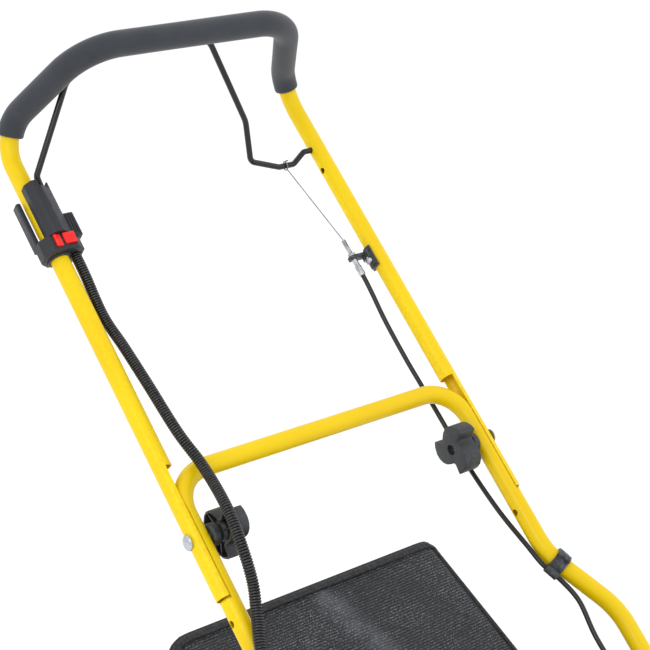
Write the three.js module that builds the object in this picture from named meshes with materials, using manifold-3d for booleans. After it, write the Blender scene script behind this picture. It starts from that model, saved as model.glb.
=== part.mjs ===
// Walk-behind leaf blower with a folding tube handle, a control bail and a rear collection bag.
// Millimetres. +Z is up, +Y points back to the operator and X runs across the machine.
import * as THREE from 'three';
import { mergeVertices } from 'three/addons/utils/BufferGeometryUtils.js';
import Module from 'manifold-3d';

// ---- Driving dimensions ----
const GAP = 0.3;                    // clearance between pieces that touch
const TUBE_R = 11;                  // handle tube outside radius
const TUBE_WALL = 1.5;
const TUBE_SIDES = 12;
const BORE_SIDES = 8;
const HANDLE_ANGLE = 40.6;          // rise of the handle's legs above the floor, degrees
const BEND_HEIGHT = 900;            // height of the corner where the legs turn into the grip loop
const UPPER_HALF_WIDTH = 203;       // centre of an upper leg
const GRIP_HALF_WIDTH = 139;        // corner between a grip arm and the grip bar
const GRIP_RISE = 152.6;            // grip bar above the plane of the legs
const GRIP_DROP = 8;                // grip bar below the leg corner, along the legs
const LEG_BEND_R = 46;
const GRIP_BEND_R = 67;
const FOAM_GAP = 0.7;
const FOAM_WALL = 3.7;
const UPPER_LENGTH = 612;           // leg corner to the lower end of the upper handle
const BOLT_AT = UPPER_LENGTH - 70;  // handle bolts, measured down the legs
const NEST_OFFSET = 3;              // the lower legs sit this much inside the upper ones
const LOWER_HALF_WIDTH = UPPER_HALF_WIDTH - NEST_OFFSET;
const CROSSBAR_AT = BOLT_AT - 75;
const CROSSBAR_BEND_R = 45;
const DECK_HALF_WIDTH = 200;        // inside of the side plates
const FOOT_HALF_WIDTH = DECK_HALF_WIDTH + 52;
const S_BEND_FROM = UPPER_LENGTH + 87;
const S_BEND_TO = S_BEND_FROM + 90;
const S_BEND_R = 85;
const FOOT_BOLT_AT = 960;
const FOOT_AT = 985;
const SPARE_HOLE_AT = UPPER_LENGTH + 28;
const BOLT_R = 4;
const PIVOT_AT = 104;               // bail pivot, measured down the legs
const SPARE_PIVOT_AT = 137;
const BAIL_R = 3.75;
const BAIL_ANGLE = 42;              // released bail, from the leg direction towards the front
const BAIL_REACH = 160;             // pivot to the bail's crossbar
const CRANK_REACH = 13;             // pivot to the crank that pulls the wire, on the far side
const KNOB_LOBE_R = 30.5;
const KNOB_DEPTH = 24;
const KNOB_HUB = 12.5;
const CONDUIT_R = 6.5;
const CABLE_R = 3;
const WIRE_R = 0.8;
const PLATE = 3;                    // sheet thickness of deck and side plates
const ROTOR_Y = -960;
const ROTOR_Z = 150;
const ROTOR_R = 92;
const SHAFT_R = 8;
const DECK_TOP = ROTOR_Z + ROTOR_R + 20;
const MOTOR_Z = DECK_TOP + 70;
const MOTOR_R = 58;
const MOTOR_HALF_LENGTH = 105;
const SHAFT_DEPTH = 30;             // how far the shaft reaches into the motor
const HOOD_HALF_WIDTH = 140;
const HOOD_WALL = 3;
const REAR_WHEEL_R = 95;
const FRONT_WHEEL_R = 80;
const REAR_WHEEL_Y = -795;
const FRONT_WHEEL_Y = -1105;
const WHEEL_INNER_X = DECK_HALF_WIDTH + 13;
const WHEEL_WIDTH = 38;
const AXLE_R = 6;
const MOTOR_PULLEY_R = 20;
const ROTOR_PULLEY_R = 45;
const PULLEY_INNER_X = DECK_HALF_WIDTH + 12;
const PULLEY_WIDTH = 14;
const BELT_THICK = 6;
const BELT_CLEAR = 1;
const IDLER_R = 14;
const IDLER_CLEAR = 3.413;          // released idler to the belt
const BELT_COVER_OUTER_X = DECK_HALF_WIDTH + 36;
const BAG_MOUTH_Y = -742;
const BAG_REAR_Y = -332;
const BAG_MOUTH_HALF = DECK_HALF_WIDTH - 36;
const BAG_REAR_HALF = 200;
const BAG_MOUTH_TOP = DECK_TOP - 24;
const BAG_REAR_TOP = 380;
const BAG_MOUTH_BOTTOM = 96;
const BAG_REAR_BOTTOM = 112;
const BAG_WALL = 3;

// ---- Solids: manifold only joins and cuts ----
const wasm = await Module();
wasm.setup();

function solid(geometry) {
  const bare = geometry.clone();
  bare.deleteAttribute('normal');
  bare.deleteAttribute('uv');
  const merged = mergeVertices(bare, 1e-3);
  const vertProperties = new Float32Array(merged.attributes.position.array);
  const triVerts = new Uint32Array(merged.index.array);
  return new wasm.Manifold(new wasm.Mesh({ numProp: 3, vertProperties, triVerts }));
}

function shell(body) {
  const { vertProperties, triVerts } = body.getMesh();
  const geometry = new THREE.BufferGeometry();
  geometry.setAttribute('position', new THREE.BufferAttribute(vertProperties, 3));
  geometry.setIndex(new THREE.BufferAttribute(triVerts, 1));
  return geometry;
}

const joined = (...parts) => parts.map(solid).reduce((sum, part) => sum.add(part));
const cutBy = (body, ...tools) => tools.map(solid).reduce((rest, tool) => rest.subtract(tool), body);

function mirrored(geometry) {
  const twin = geometry.clone().scale(-1, 1, 1);
  const flat = twin.index ? twin.toNonIndexed() : twin;
  const position = flat.attributes.position;
  for (let i = 0; i < position.count; i += 3) {
    const kept = new THREE.Vector3().fromBufferAttribute(position, i);
    const other = new THREE.Vector3().fromBufferAttribute(position, i + 1);
    position.setXYZ(i, ...other.toArray());
    position.setXYZ(i + 1, ...kept.toArray());
  }
  flat.deleteAttribute('normal');
  flat.deleteAttribute('uv');
  return flat;
}

// ---- Shape helpers ----
const vec = (x, y, z) => new THREE.Vector3(x, y, z);

function block(x0, x1, y0, y1, z0, z1) {
  const size = [x1 - x0, y1 - y0, z1 - z0];
  return new THREE.BoxGeometry(...size).translate((x0 + x1) / 2, (y0 + y1) / 2, (z0 + z1) / 2);
}

function rodAlongX(radius, x0, x1, y, z, sides = 16) {
  const rod = new THREE.CylinderGeometry(radius, radius, x1 - x0, sides).rotateZ(-Math.PI / 2);
  return rod.translate((x0 + x1) / 2, y, z);
}

// A turned piece on an axis along X: profile points are [radius, x].
function turnedAlongX(profile, y, z, sides = 24, phase = 0) {
  const points = profile.map(([radius, x]) => new THREE.Vector2(radius, x));
  return new THREE.LatheGeometry(points, sides, phase).rotateZ(-Math.PI / 2).translate(0, y, z);
}

// A path of straight runs joined by arcs. It gives the sweep one station at each place that needs it.
class BentPath extends THREE.Curve {
  constructor(stations) {
    super();
    this.stations = stations;
  }

  getPoint(t) {
    return this.stations[Math.round(t * (this.stations.length - 1))].clone();
  }

  getSpacedPoints() {
    return this.stations.map((station) => station.clone());
  }

  getTangentAt(t) {
    const last = this.stations.length - 1;
    const i = Math.round(t * last);
    const before = this.stations[Math.max(i - 1, 0)];
    const after = this.stations[Math.min(i + 1, last)];
    const into = this.stations[i].clone().sub(before).normalize();
    const out = after.clone().sub(this.stations[i]).normalize();
    return into.add(out).normalize();
  }
}

function roundedCorner(before, corner, after, radius, stepDegrees) {
  const into = corner.clone().sub(before).normalize();
  const out = after.clone().sub(corner).normalize();
  const turn = into.angleTo(out);
  const reach = radius * Math.tan(turn / 2);
  const start = corner.clone().addScaledVector(into, -reach);
  const inward = out.clone().addScaledVector(into, -out.dot(into)).normalize();
  const steps = Math.max(2, Math.ceil(THREE.MathUtils.radToDeg(turn) / stepDegrees));
  const points = [];
  for (let i = 0; i <= steps; i += 1) {
    const angle = (turn * i) / steps;
    const point = start.clone().addScaledVector(into, radius * Math.sin(angle));
    points.push(point.addScaledVector(inward, radius * (1 - Math.cos(angle))));
  }
  return points;
}

function bentStations(corners, radii, stepDegrees = 12) {
  const stations = [corners[0]];
  for (let i = 1; i < corners.length - 1; i += 1) {
    stations.push(...roundedCorner(corners[i - 1], corners[i], corners[i + 1], radii[i - 1], stepDegrees));
  }
  stations.push(corners[corners.length - 1]);
  return stations;
}

function circle(radius, sides) {
  const points = [];
  for (let i = 0; i < sides; i += 1) {
    const angle = (2 * Math.PI * i) / sides;
    points.push(new THREE.Vector2(radius * Math.cos(angle), radius * Math.sin(angle)));
  }
  return points;
}

function swept(stations, radius, sides, boreRadius = 0, boreSides = sides) {
  const section = new THREE.Shape(circle(radius, sides));
  if (boreRadius > 0) section.holes.push(new THREE.Path(circle(boreRadius, boreSides)));
  const extrudePath = new BentPath(stations);
  return new THREE.ExtrudeGeometry(section, { steps: stations.length - 1, extrudePath });
}

function along(points, count) {
  return new THREE.CatmullRomCurve3(points, false, 'centripetal').getSpacedPoints(count);
}

// A plate whose outline lies in the Y-Z plane, from x0 to x1.
function plateAcross(shape, x0, x1, curveSegments = 8) {
  const plate = new THREE.ExtrudeGeometry(shape, { depth: x1 - x0, bevelEnabled: false, curveSegments });
  const basis = new THREE.Matrix4().makeBasis(vec(0, 1, 0), vec(0, 0, 1), vec(1, 0, 0));
  return plate.applyMatrix4(basis).translate(x0, 0, 0);
}

// A strip of even thickness that follows a line of [y, z] points, for bent sheet.
function stripShape(points, thickness) {
  const line = points.map(([y, z]) => new THREE.Vector2(y, z));
  const inner = line.map((point, i) => {
    const before = line[Math.max(i - 1, 0)];
    const after = line[Math.min(i + 1, line.length - 1)];
    const run = after.clone().sub(before).normalize();
    return point.clone().add(new THREE.Vector2(-run.y, run.x).multiplyScalar(thickness));
  });
  return new THREE.Shape([...line, ...inner.reverse()]);
}

function roundedRectangle(u0, u1, v0, v1, radius) {
  const shape = new THREE.Shape();
  shape.moveTo(u0 + radius, v0);
  shape.lineTo(u1 - radius, v0);
  shape.absarc(u1 - radius, v0 + radius, radius, -Math.PI / 2, 0);
  shape.lineTo(u1, v1 - radius);
  shape.absarc(u1 - radius, v1 - radius, radius, 0, Math.PI / 2);
  shape.lineTo(u0 + radius, v1);
  shape.absarc(u0 + radius, v1 - radius, radius, Math.PI / 2, Math.PI);
  shape.lineTo(u0, v0 + radius);
  shape.absarc(u0 + radius, v0 + radius, radius, Math.PI, 1.5 * Math.PI);
  return shape;
}

// A rounded bar whose section lies in X-Y, from z0 to z1.
function bar(x0, x1, y0, y1, z0, z1, radius) {
  const shape = roundedRectangle(x0, x1, y0, y1, radius);
  const settings = { depth: z1 - z0, bevelEnabled: false, curveSegments: 3 };
  return new THREE.ExtrudeGeometry(shape, settings).translate(0, 0, z0);
}

function loft(rings) {
  const sides = rings[0].length;
  const positions = rings.flat().flatMap((point) => point.toArray());
  const index = [];
  for (let ring = 0; ring < rings.length - 1; ring += 1) {
    for (let i = 0; i < sides; i += 1) {
      const a = ring * sides + i;
      const b = ring * sides + ((i + 1) % sides);
      index.push(a, b, a + sides, b, b + sides, a + sides);
    }
  }
  const last = (rings.length - 1) * sides;
  for (let i = 1; i < sides - 1; i += 1) {
    index.push(0, i + 1, i);
    index.push(last, last + i, last + i + 1);
  }
  const geometry = new THREE.BufferGeometry();
  geometry.setAttribute('position', new THREE.Float32BufferAttribute(positions, 3));
  geometry.setIndex(index);
  return geometry;
}

// ---- Materials ----
const finish = (color, roughness, metalness) => new THREE.MeshStandardMaterial({ color, roughness, metalness });
const YELLOW = finish(0xf5d400, 0.35, 0.1);
const BLACK_PLASTIC = finish(0x3a3e42, 0.5, 0);
const FOAM = finish(0x3b3f44, 0.9, 0);
const BLACK_STEEL = finish(0x26282a, 0.4, 0.3);
const RED = finish(0xe62819, 0.4, 0);
const ZINC = finish(0xc4c8cb, 0.3, 0.9);
const RUBBER = finish(0x1d1e20, 0.85, 0);
const FABRIC = finish(0x34373c, 0.95, 0);
const STEEL = finish(0x8d9296, 0.4, 0.9);
const GREY_PLASTIC = finish(0x55595e, 0.5, 0);

const machine = new THREE.Group();
const handle = new THREE.Group();
machine.add(handle);

function put(group, name, geometry, material) {
  const mesh = new THREE.Mesh(geometry, material);
  mesh.name = name;
  group.add(mesh);
  return mesh;
}

// ---- Handle ----
// The handle group's own axes: x across, y off the plane of the legs to the front, z down the legs.
handle.position.set(0, 0, BEND_HEIGHT);
handle.rotation.x = Math.PI / 2 + THREE.MathUtils.degToRad(HANDLE_ANGLE);
const toMachine = (point) => point.applyEuler(handle.rotation).add(handle.position);

const SPLIT_X = UPPER_HALF_WIDTH;              // the two handles meet on this plane at the bolts
const NEST_FROM = CROSSBAR_AT - TUBE_R - 1;    // where the nested ends of the handles begin
const NEST_TO = UPPER_LENGTH + 2;
const BOLT_HOLE_R = BOLT_R + GAP;
const PIVOT_HOLE_R = BAIL_R + GAP + 0.1;

function upperStations() {
  const corners = [
    vec(-UPPER_HALF_WIDTH, 0, UPPER_LENGTH), vec(-UPPER_HALF_WIDTH, 0, 0),
    vec(-GRIP_HALF_WIDTH, GRIP_RISE, GRIP_DROP), vec(GRIP_HALF_WIDTH, GRIP_RISE, GRIP_DROP),
    vec(UPPER_HALF_WIDTH, 0, 0), vec(UPPER_HALF_WIDTH, 0, UPPER_LENGTH),
  ];
  return bentStations(corners, [LEG_BEND_R, GRIP_BEND_R, GRIP_BEND_R, LEG_BEND_R], 16);
}

function upperHandle() {
  const tube = swept(upperStations(), TUBE_R, TUBE_SIDES, TUBE_R - TUBE_WALL, BORE_SIDES);
  const tools = [1, -1].flatMap((side) => {
    const nest = block(0, SPLIT_X + GAP, -20, 20, NEST_FROM, UPPER_LENGTH + 5);
    const boltHole = rodAlongX(BOLT_HOLE_R, SPLIT_X, SPLIT_X + 20, 0, BOLT_AT);
    const pivotHole = rodAlongX(PIVOT_HOLE_R, SPLIT_X - 20, SPLIT_X, 0, PIVOT_AT);
    const spareHole = rodAlongX(PIVOT_HOLE_R, SPLIT_X - 20, SPLIT_X, 0, SPARE_PIVOT_AT);
    const both = [nest, boltHole, pivotHole, spareHole];
    const screwHole = rodAlongX(BRACKET_SCREW_R + GAP, SPLIT_X - 20, SPLIT_X + 20, 0, BRACKET_SCREW_AT);
    return side > 0 ? [...both, screwHole] : both.map(mirrored);
  });
  put(handle, 'upper_handle', shell(cutBy(solid(tube), ...tools)), YELLOW);
}

function gripFoam() {
  const stations = upperStations();
  const skipped = 4;               // stations of the leg corner that stay bare
  const covered = stations.slice(skipped, stations.length - skipped);
  put(handle, 'grip_foam', swept(covered, TUBE_R + FOAM_GAP + FOAM_WALL, TUBE_SIDES, TUBE_R + FOAM_GAP), FOAM);
}

function lowerHandle() {
  const leg = [
    vec(FOOT_HALF_WIDTH, 0, FOOT_AT), vec(FOOT_HALF_WIDTH, 0, S_BEND_TO),
    vec(LOWER_HALF_WIDTH, 0, S_BEND_FROM), vec(LOWER_HALF_WIDTH, 0, CROSSBAR_AT),
  ];
  const corners = [...leg, ...leg.map((point) => vec(-point.x, point.y, point.z)).reverse()];
  const radii = [S_BEND_R, S_BEND_R, CROSSBAR_BEND_R, CROSSBAR_BEND_R, S_BEND_R, S_BEND_R];
  const stations = bentStations(corners, radii, 16);
  const full = solid(swept(stations, TUBE_R, TUBE_SIDES));
  const outer = SPLIT_X + 30;
  const flat = block(SPLIT_X - TUBE_WALL, SPLIT_X, -20, 20, NEST_FROM - 5, NEST_TO + TUBE_WALL);
  const step = block(SPLIT_X - TUBE_WALL, outer, -20, 20, NEST_TO, NEST_TO + TUBE_WALL);
  let body = solid(swept(stations, TUBE_R, TUBE_SIDES, TUBE_R - TUBE_WALL, BORE_SIDES));
  const nest = block(SPLIT_X, outer, -20, 20, NEST_FROM - 5, NEST_TO);
  body = cutBy(body, nest, mirrored(nest));
  for (const face of [flat, step, mirrored(flat), mirrored(step)]) {
    body = body.add(full.intersect(solid(face)));
  }
  const holes = [
    rodAlongX(BOLT_HOLE_R, outer - 133, outer, 0, BOLT_AT),
    rodAlongX(BOLT_HOLE_R, outer - 133, outer, 0, SPARE_HOLE_AT),
    rodAlongX(BOLT_HOLE_R, FOOT_HALF_WIDTH - 50, FOOT_HALF_WIDTH + 50, 0, FOOT_BOLT_AT),
  ];
  body = cutBy(body, ...holes, ...holes.map(mirrored));
  put(handle, 'lower_handle', shell(body), YELLOW);
}

const BOLT_SEAT_X = UPPER_HALF_WIDTH + TUBE_R + 0.2;
const BOLT_TIP_X = UPPER_HALF_WIDTH - TUBE_R - 34;

function handleBolt() {
  const profile = [[0, BOLT_TIP_X], [BOLT_R, BOLT_TIP_X], [BOLT_R, BOLT_SEAT_X]];
  const head = [[9, BOLT_SEAT_X], [8.4, BOLT_SEAT_X + 1.8], [6, BOLT_SEAT_X + 3.6], [0, BOLT_SEAT_X + 4.6]];
  return turnedAlongX([...profile, ...head], 0, BOLT_AT, 16);
}

const KNOB_SEAT_X = LOWER_HALF_WIDTH - TUBE_R - GAP;

// One of the three lobes, from its sharp lip: degrees round from the lip, share of the lobe radius.
const LOBE = [
  [0, 1], [14, 1], [30, 0.985], [44, 0.94], [58, 0.86], [72, 0.75], [86, 0.64], [98, 0.57], [110, 0.55], [116, 0.62],
];

// The lips start at an angle from the front direction, and the lobes fall away round from them.
function lobedOutline(lip) {
  const points = [240, 120, 0].flatMap((third) => LOBE.map(([round, share]) => {
    const angle = THREE.MathUtils.degToRad(lip + third - round);
    return new THREE.Vector2(Math.cos(angle), Math.sin(angle)).multiplyScalar(share * KNOB_LOBE_R);
  }));
  return points.reverse();
}

function wingKnob(lip) {
  const lobes = new THREE.Shape(lobedOutline(lip));
  lobes.holes.push(new THREE.Path(circle(BOLT_HOLE_R, 16)));
  const hubFrom = KNOB_SEAT_X - KNOB_HUB;
  const head = plateAcross(lobes, hubFrom - KNOB_DEPTH, hubFrom);
  const hub = turnedAlongX([
    [BOLT_HOLE_R, hubFrom - 1], [9.5, hubFrom - 1], [9.5, hubFrom + 3], [13, hubFrom + 4.5], [13, KNOB_SEAT_X - 2],
    [11, KNOB_SEAT_X], [BOLT_HOLE_R, KNOB_SEAT_X], [BOLT_HOLE_R, hubFrom - 1],
  ], 0, 0, 16);
  return shell(joined(head, hub));
}

// The left knob is the same piece turned round to face the other way.
const RIGHT_KNOB_LIP = 107.4;
const LEFT_KNOB_LIP = 85.6;

function handleJoint() {
  put(handle, 'handle_bolt_right', handleBolt(), ZINC);
  put(handle, 'handle_bolt_left', mirrored(handleBolt()), ZINC);
  put(handle, 'wing_knob_right', wingKnob(RIGHT_KNOB_LIP).translate(0, 0, BOLT_AT), BLACK_PLASTIC);
  const left = wingKnob(LEFT_KNOB_LIP).rotateZ(Math.PI).translate(0, 0, BOLT_AT);
  put(handle, 'wing_knob_left', left, BLACK_PLASTIC);
}

// A point of the flat bent bail: x across, reach away from the pivot axis.
function onBail(x, reach) {
  const angle = THREE.MathUtils.degToRad(BAIL_ANGLE);
  return vec(x, reach * Math.sin(angle), PIVOT_AT - reach * Math.cos(angle));
}

function bailLever() {
  const right = UPPER_HALF_WIDTH;
  const left = -UPPER_HALF_WIDTH;
  const corners = [
    onBail(right - 2, 0), onBail(right - 2 * TUBE_R, 0),
    onBail(right - 39, -CRANK_REACH), onBail(right - 62, -CRANK_REACH),
    onBail(right - 104, 1), onBail(right - 106, 52), onBail(right - 149, BAIL_REACH),
    onBail(left + TUBE_R + 80, BAIL_REACH), onBail(left + TUBE_R + 48.7, BAIL_REACH - 28),
    onBail(left + TUBE_R - 2, 33), onBail(left + TUBE_R + 3.5, 14), onBail(left + TUBE_R + 4.2, 0), onBail(left + 2, 0),
  ];
  const radii = [8, 8, 8, 9, 30, 18, 18, 18, 8, 5, 5];
  put(handle, 'bail_lever', swept(bentStations(corners, radii, 24), BAIL_R, 8), BLACK_STEEL);
}

const HOOK_X = UPPER_HALF_WIDTH - 52;

function controlWire() {
  const crank = onBail(HOOK_X, -CRANK_REACH);
  const ring = new THREE.TorusGeometry(5.6, WIRE_R, 6, 14).rotateY(Math.PI / 2);
  put(handle, 'wire_hook', ring.translate(crank.x, crank.y, crank.z), STEEL);
  const top = crank.clone().add(vec(0, 0, 5.6 + WIRE_R + GAP));
  const bottom = ADJUSTER_TOP.clone().sub(vec(0, 0, GAP));
  put(handle, 'cable_inner_wire', swept([top, bottom], WIRE_R, 8), STEEL);
}

const BRACKET_FROM = 258;
const BRACKET_TO = 287;
const EAR_FROM = BRACKET_FROM + 3.5;
const EAR_THICK = 4;
const BRACKET_SCREW_AT = 276;
const BRACKET_SCREW_R = 2;
const SCREW_SEAT_X = UPPER_HALF_WIDTH - TUBE_R - 4.5;
const ADJUSTER_X = SCREW_SEAT_X - 15;
const ADJUSTER_Y = -8;
const ADJUSTER_LENGTH = 54;
const ADJUSTER_TOP = vec(ADJUSTER_X, ADJUSTER_Y, 236);

// A saddle screwed to the inside of the right leg, with an ear that holds the cable's adjuster.
function cableBracket() {
  const x = UPPER_HALF_WIDTH;
  const length = BRACKET_TO - BRACKET_FROM;
  const middle = (BRACKET_FROM + BRACKET_TO) / 2;
  const round = (radius, long, sides) => new THREE.CylinderGeometry(radius, radius, long, sides).rotateX(Math.PI / 2);
  const collar = round(TUBE_R + 3.5, length, 20).translate(x, 0, middle);
  const boss = rodAlongX(5.8, SCREW_SEAT_X, x - TUBE_R, 0, BRACKET_SCREW_AT);
  const ear = bar(
    ADJUSTER_X - 6.5, x - TUBE_R + 2, ADJUSTER_Y - 6.5, ADJUSTER_Y + 6.5, EAR_FROM, EAR_FROM + EAR_THICK, 3);
  const body = cutBy(
    joined(collar, ear, boss),
    block(x - 5, x + 20, -20, 20, BRACKET_FROM - 5, BRACKET_TO + 5),
    block(x - 20, x + 20, TUBE_R - 3, 20, BRACKET_FROM - 5, BRACKET_TO + 5),
    round(TUBE_R + 0.6, length + 4, 20).translate(x, 0, middle),
    round(3 + GAP, length, 12).translate(ADJUSTER_X, ADJUSTER_Y, EAR_FROM),
    block(ADJUSTER_X - 1.1, ADJUSTER_X + 1.1, ADJUSTER_Y - 12, ADJUSTER_Y, EAR_FROM - 2, EAR_FROM + 6),
    rodAlongX(BRACKET_SCREW_R + GAP, SCREW_SEAT_X - 5, x, 0, BRACKET_SCREW_AT),
  );
  put(handle, 'cable_bracket', shell(body), BLACK_PLASTIC);
  const head = SCREW_SEAT_X - GAP;
  const end = x + TUBE_R + 2.3;
  put(handle, 'bracket_screw', turnedAlongX([
    [0, head - 5.4], [3.2, head - 5], [5.2, head - 3.2], [5.2, head], [BRACKET_SCREW_R, head],
    [BRACKET_SCREW_R, end], [0, end],
  ], 0, BRACKET_SCREW_AT, 12), ZINC);
}

function cableAdjuster() {
  const shoulder = EAR_FROM + EAR_THICK + GAP - ADJUSTER_TOP.z;
  const profile = [
    [0, 0], [3, 0], [3, shoulder], [3.6, shoulder], [3.6, ADJUSTER_LENGTH - 14], [4.3, ADJUSTER_LENGTH - 13],
    [4.3, ADJUSTER_LENGTH], [0, ADJUSTER_LENGTH],
  ];
  const points = profile.map(([radius, at]) => new THREE.Vector2(radius, at));
  const body = new THREE.LatheGeometry(points, 12).rotateX(Math.PI / 2);
  put(handle, 'cable_adjuster', body.translate(ADJUSTER_X, ADJUSTER_Y, ADJUSTER_TOP.z), ZINC);
  const nut = solid(new THREE.CylinderGeometry(5.6, 5.6, 3.4, 6).rotateX(Math.PI / 2));
  const hole = new THREE.CylinderGeometry(3 + GAP, 3 + GAP, 8, 12).rotateX(Math.PI / 2);
  const at = EAR_FROM - 1.7 - GAP;
  put(handle, 'adjuster_nut', shell(cutBy(nut, hole)).translate(ADJUSTER_X, ADJUSTER_Y, at), ZINC);
}

// ---- Switch box on the left leg ----
// Its places across are measured from the centre of the leg.
const SLEEVE = { x0: 1 - TUBE_R, x1: TUBE_R + 10, y1: TUBE_R + 17.5, z0: 86, z1: 158 };
const RIDGE = { x: 6, drop: 12 };   // the sleeve's top falls from its ridge to its inner side
const CLAMP = {
  x0: -TUBE_R - 10, x1: TUBE_R + 18.5, y0: -TUBE_R - 3.5, y1: TUBE_R + 10, z0: 157, z1: 179, corner: 10,
};
const BAIL_NOTCH = 9;               // depth of the notch that the closing bail swings into
const BUTTON_TRAVEL = 2.5;
const BUTTON_FACE = TUBE_R + 13;
const BUTTON_FOOT = TUBE_R + 1;
const BUTTONS = [
  { name: 'lock_button', x0: -6, x1: 1.5, z0: 159, z1: 174 },
  { name: 'start_button', x0: 5.5, x1: 20, z0: 159, z1: 173 },
];
const CONDUIT_OUT = { x: TUBE_R + 9, y: 2 };

// A bar down the leg whose section in X-Y has straight sides.
function facetedBar(section, z0, z1) {
  const shape = new THREE.Shape(section.map(([x, y]) => new THREE.Vector2(x, y)));
  return new THREE.ExtrudeGeometry(shape, { depth: z1 - z0, bevelEnabled: false }).translate(0, 0, z0);
}

function switchHousing() {
  const sleeve = facetedBar([
    [SLEEVE.x0, 1 - TUBE_R], [SLEEVE.x1, 1 - TUBE_R], [SLEEVE.x1, SLEEVE.y1 - RIDGE.drop], [RIDGE.x, SLEEVE.y1],
    [SLEEVE.x0 + 7, SLEEVE.y1 - 1.5], [SLEEVE.x0, SLEEVE.y1 - 9],
  ], SLEEVE.z0, SLEEVE.z1);
  const { x0, x1, y0, y1, corner } = CLAMP;
  const clamp = facetedBar([
    [x0 + corner, y0], [x1 - corner, y0], [x1, y0 + corner], [x1, y1 - corner],
    [x1 - corner, y1], [x0 + corner, y1], [x0, y1 - corner], [x0, y0 + corner],
  ], CLAMP.z0, CLAMP.z1);
  const handBlock = bar(TUBE_R + 6, TUBE_R + 24.5, -TUBE_R - 1, TUBE_R + 3, 129, 160, 3);
  const slab = bar(CLAMP.x0, CLAMP.x0 + 6, -10, 4, 99, 162, 2);
  const tube = rodAlongX(TUBE_R + 0.6, -60, 60, 0, 0, 20).rotateY(Math.PI / 2).translate(0, 0, 130);
  const gutter = block(-TUBE_R - 3.5, 1, -30, TUBE_R - 2, 60, CLAMP.z0);
  const roomTo = SLEEVE.x1 - 1.8;
  const roof = (x) => SLEEVE.y1 - 2 - (RIDGE.drop * (x - RIDGE.x)) / (SLEEVE.x1 - RIDGE.x);
  const bailRoom = facetedBar([
    [0.5, -8], [roomTo, -8], [roomTo, roof(roomTo)], [RIDGE.x, roof(RIDGE.x)], [0.5, roof(RIDGE.x)],
  ], SLEEVE.z0 - 5, 114);
  const bailNotch = block(4.4, roomTo, 0, SLEEVE.y1 + 2, SLEEVE.z0 - 5, SLEEVE.z0 + BAIL_NOTCH);
  const wells = BUTTONS.map((button) => block(
    button.x0 - GAP, button.x1 + GAP, BUTTON_FOOT, BUTTON_FOOT + 28, button.z0 - GAP, button.z1 + GAP));
  const cableHole = new THREE.CylinderGeometry(CONDUIT_R + 0.9, CONDUIT_R + 0.9, 14, 12).rotateX(Math.PI / 2);
  cableHole.translate(CONDUIT_OUT.x, CONDUIT_OUT.y, CLAMP.z1 + 2);
  const body = cutBy(joined(sleeve, clamp, handBlock, slab), tube, gutter, bailRoom, bailNotch, ...wells, cableHole);
  const front = body.subtract(solid(block(-60, 60, -60, 0, 50, 200)));
  const rear = body.subtract(solid(block(-60, 60, -GAP, 60, 50, 200)));
  const left = -UPPER_HALF_WIDTH;
  put(handle, 'switch_housing', shell(front).translate(left, 0, 0), BLACK_PLASTIC);
  put(handle, 'switch_rear_shell', shell(rear).translate(left, 0, 0), BLACK_PLASTIC);
  for (const button of BUTTONS) {
    const foot = BUTTON_FOOT + BUTTON_TRAVEL + GAP;
    const cap = bar(button.x0, button.x1, foot, BUTTON_FACE, button.z0, button.z1, 1.5);
    put(handle, button.name, cap.translate(left, 0, 0), RED);
  }
}

// ---- Places of the belt drive ----
const BELT_TILT = Math.asin((ROTOR_PULLEY_R - MOTOR_PULLEY_R) / (MOTOR_Z - ROTOR_Z));
const IDLER_OUT = MOTOR_PULLEY_R + BELT_THICK + IDLER_R + IDLER_CLEAR;
const IDLER_Z = (ROTOR_Z + MOTOR_Z) / 2 + 9;
const IDLER_Y = ROTOR_Y + (IDLER_OUT + (MOTOR_Z - IDLER_Z) * Math.sin(BELT_TILT)) / Math.cos(BELT_TILT);
const ARM_PIVOT = { y: IDLER_Y + 24.8, z: IDLER_Z - 34 };
const ARM_HOOK = { y: ARM_PIVOT.y + 22, z: ARM_PIVOT.z + 27 };
const LOWER_CABLE_END = vec(DECK_HALF_WIDTH + 22, ARM_HOOK.y + 20, ARM_HOOK.z + 40);

// ---- Conduit on the left, Bowden cable on the right ----
const S_BEND_SLOPE = Math.atan2(FOOT_HALF_WIDTH - LOWER_HALF_WIDTH, S_BEND_TO - S_BEND_FROM);
const S_BEND_START = S_BEND_FROM - S_BEND_R * Math.tan(S_BEND_SLOPE / 2);

// Where a lower leg's centre is, and how it slopes, at a distance down the first half of its S-bend.
function onSBend(side, z) {
  const arcSlope = Math.asin(Math.min((z - S_BEND_START) / S_BEND_R, 1));
  if (arcSlope < S_BEND_SLOPE) {
    return { x: side * (LOWER_HALF_WIDTH + S_BEND_R * (1 - Math.cos(arcSlope))), z, turn: side * arcSlope };
  }
  return { x: side * (LOWER_HALF_WIDTH + (z - S_BEND_FROM) * Math.tan(S_BEND_SLOPE)), z, turn: side * S_BEND_SLOPE };
}

const CABLE_CLIP = onSBend(1, 713);
const CONDUIT_CLIP = onSBend(-1, 746);

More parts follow.
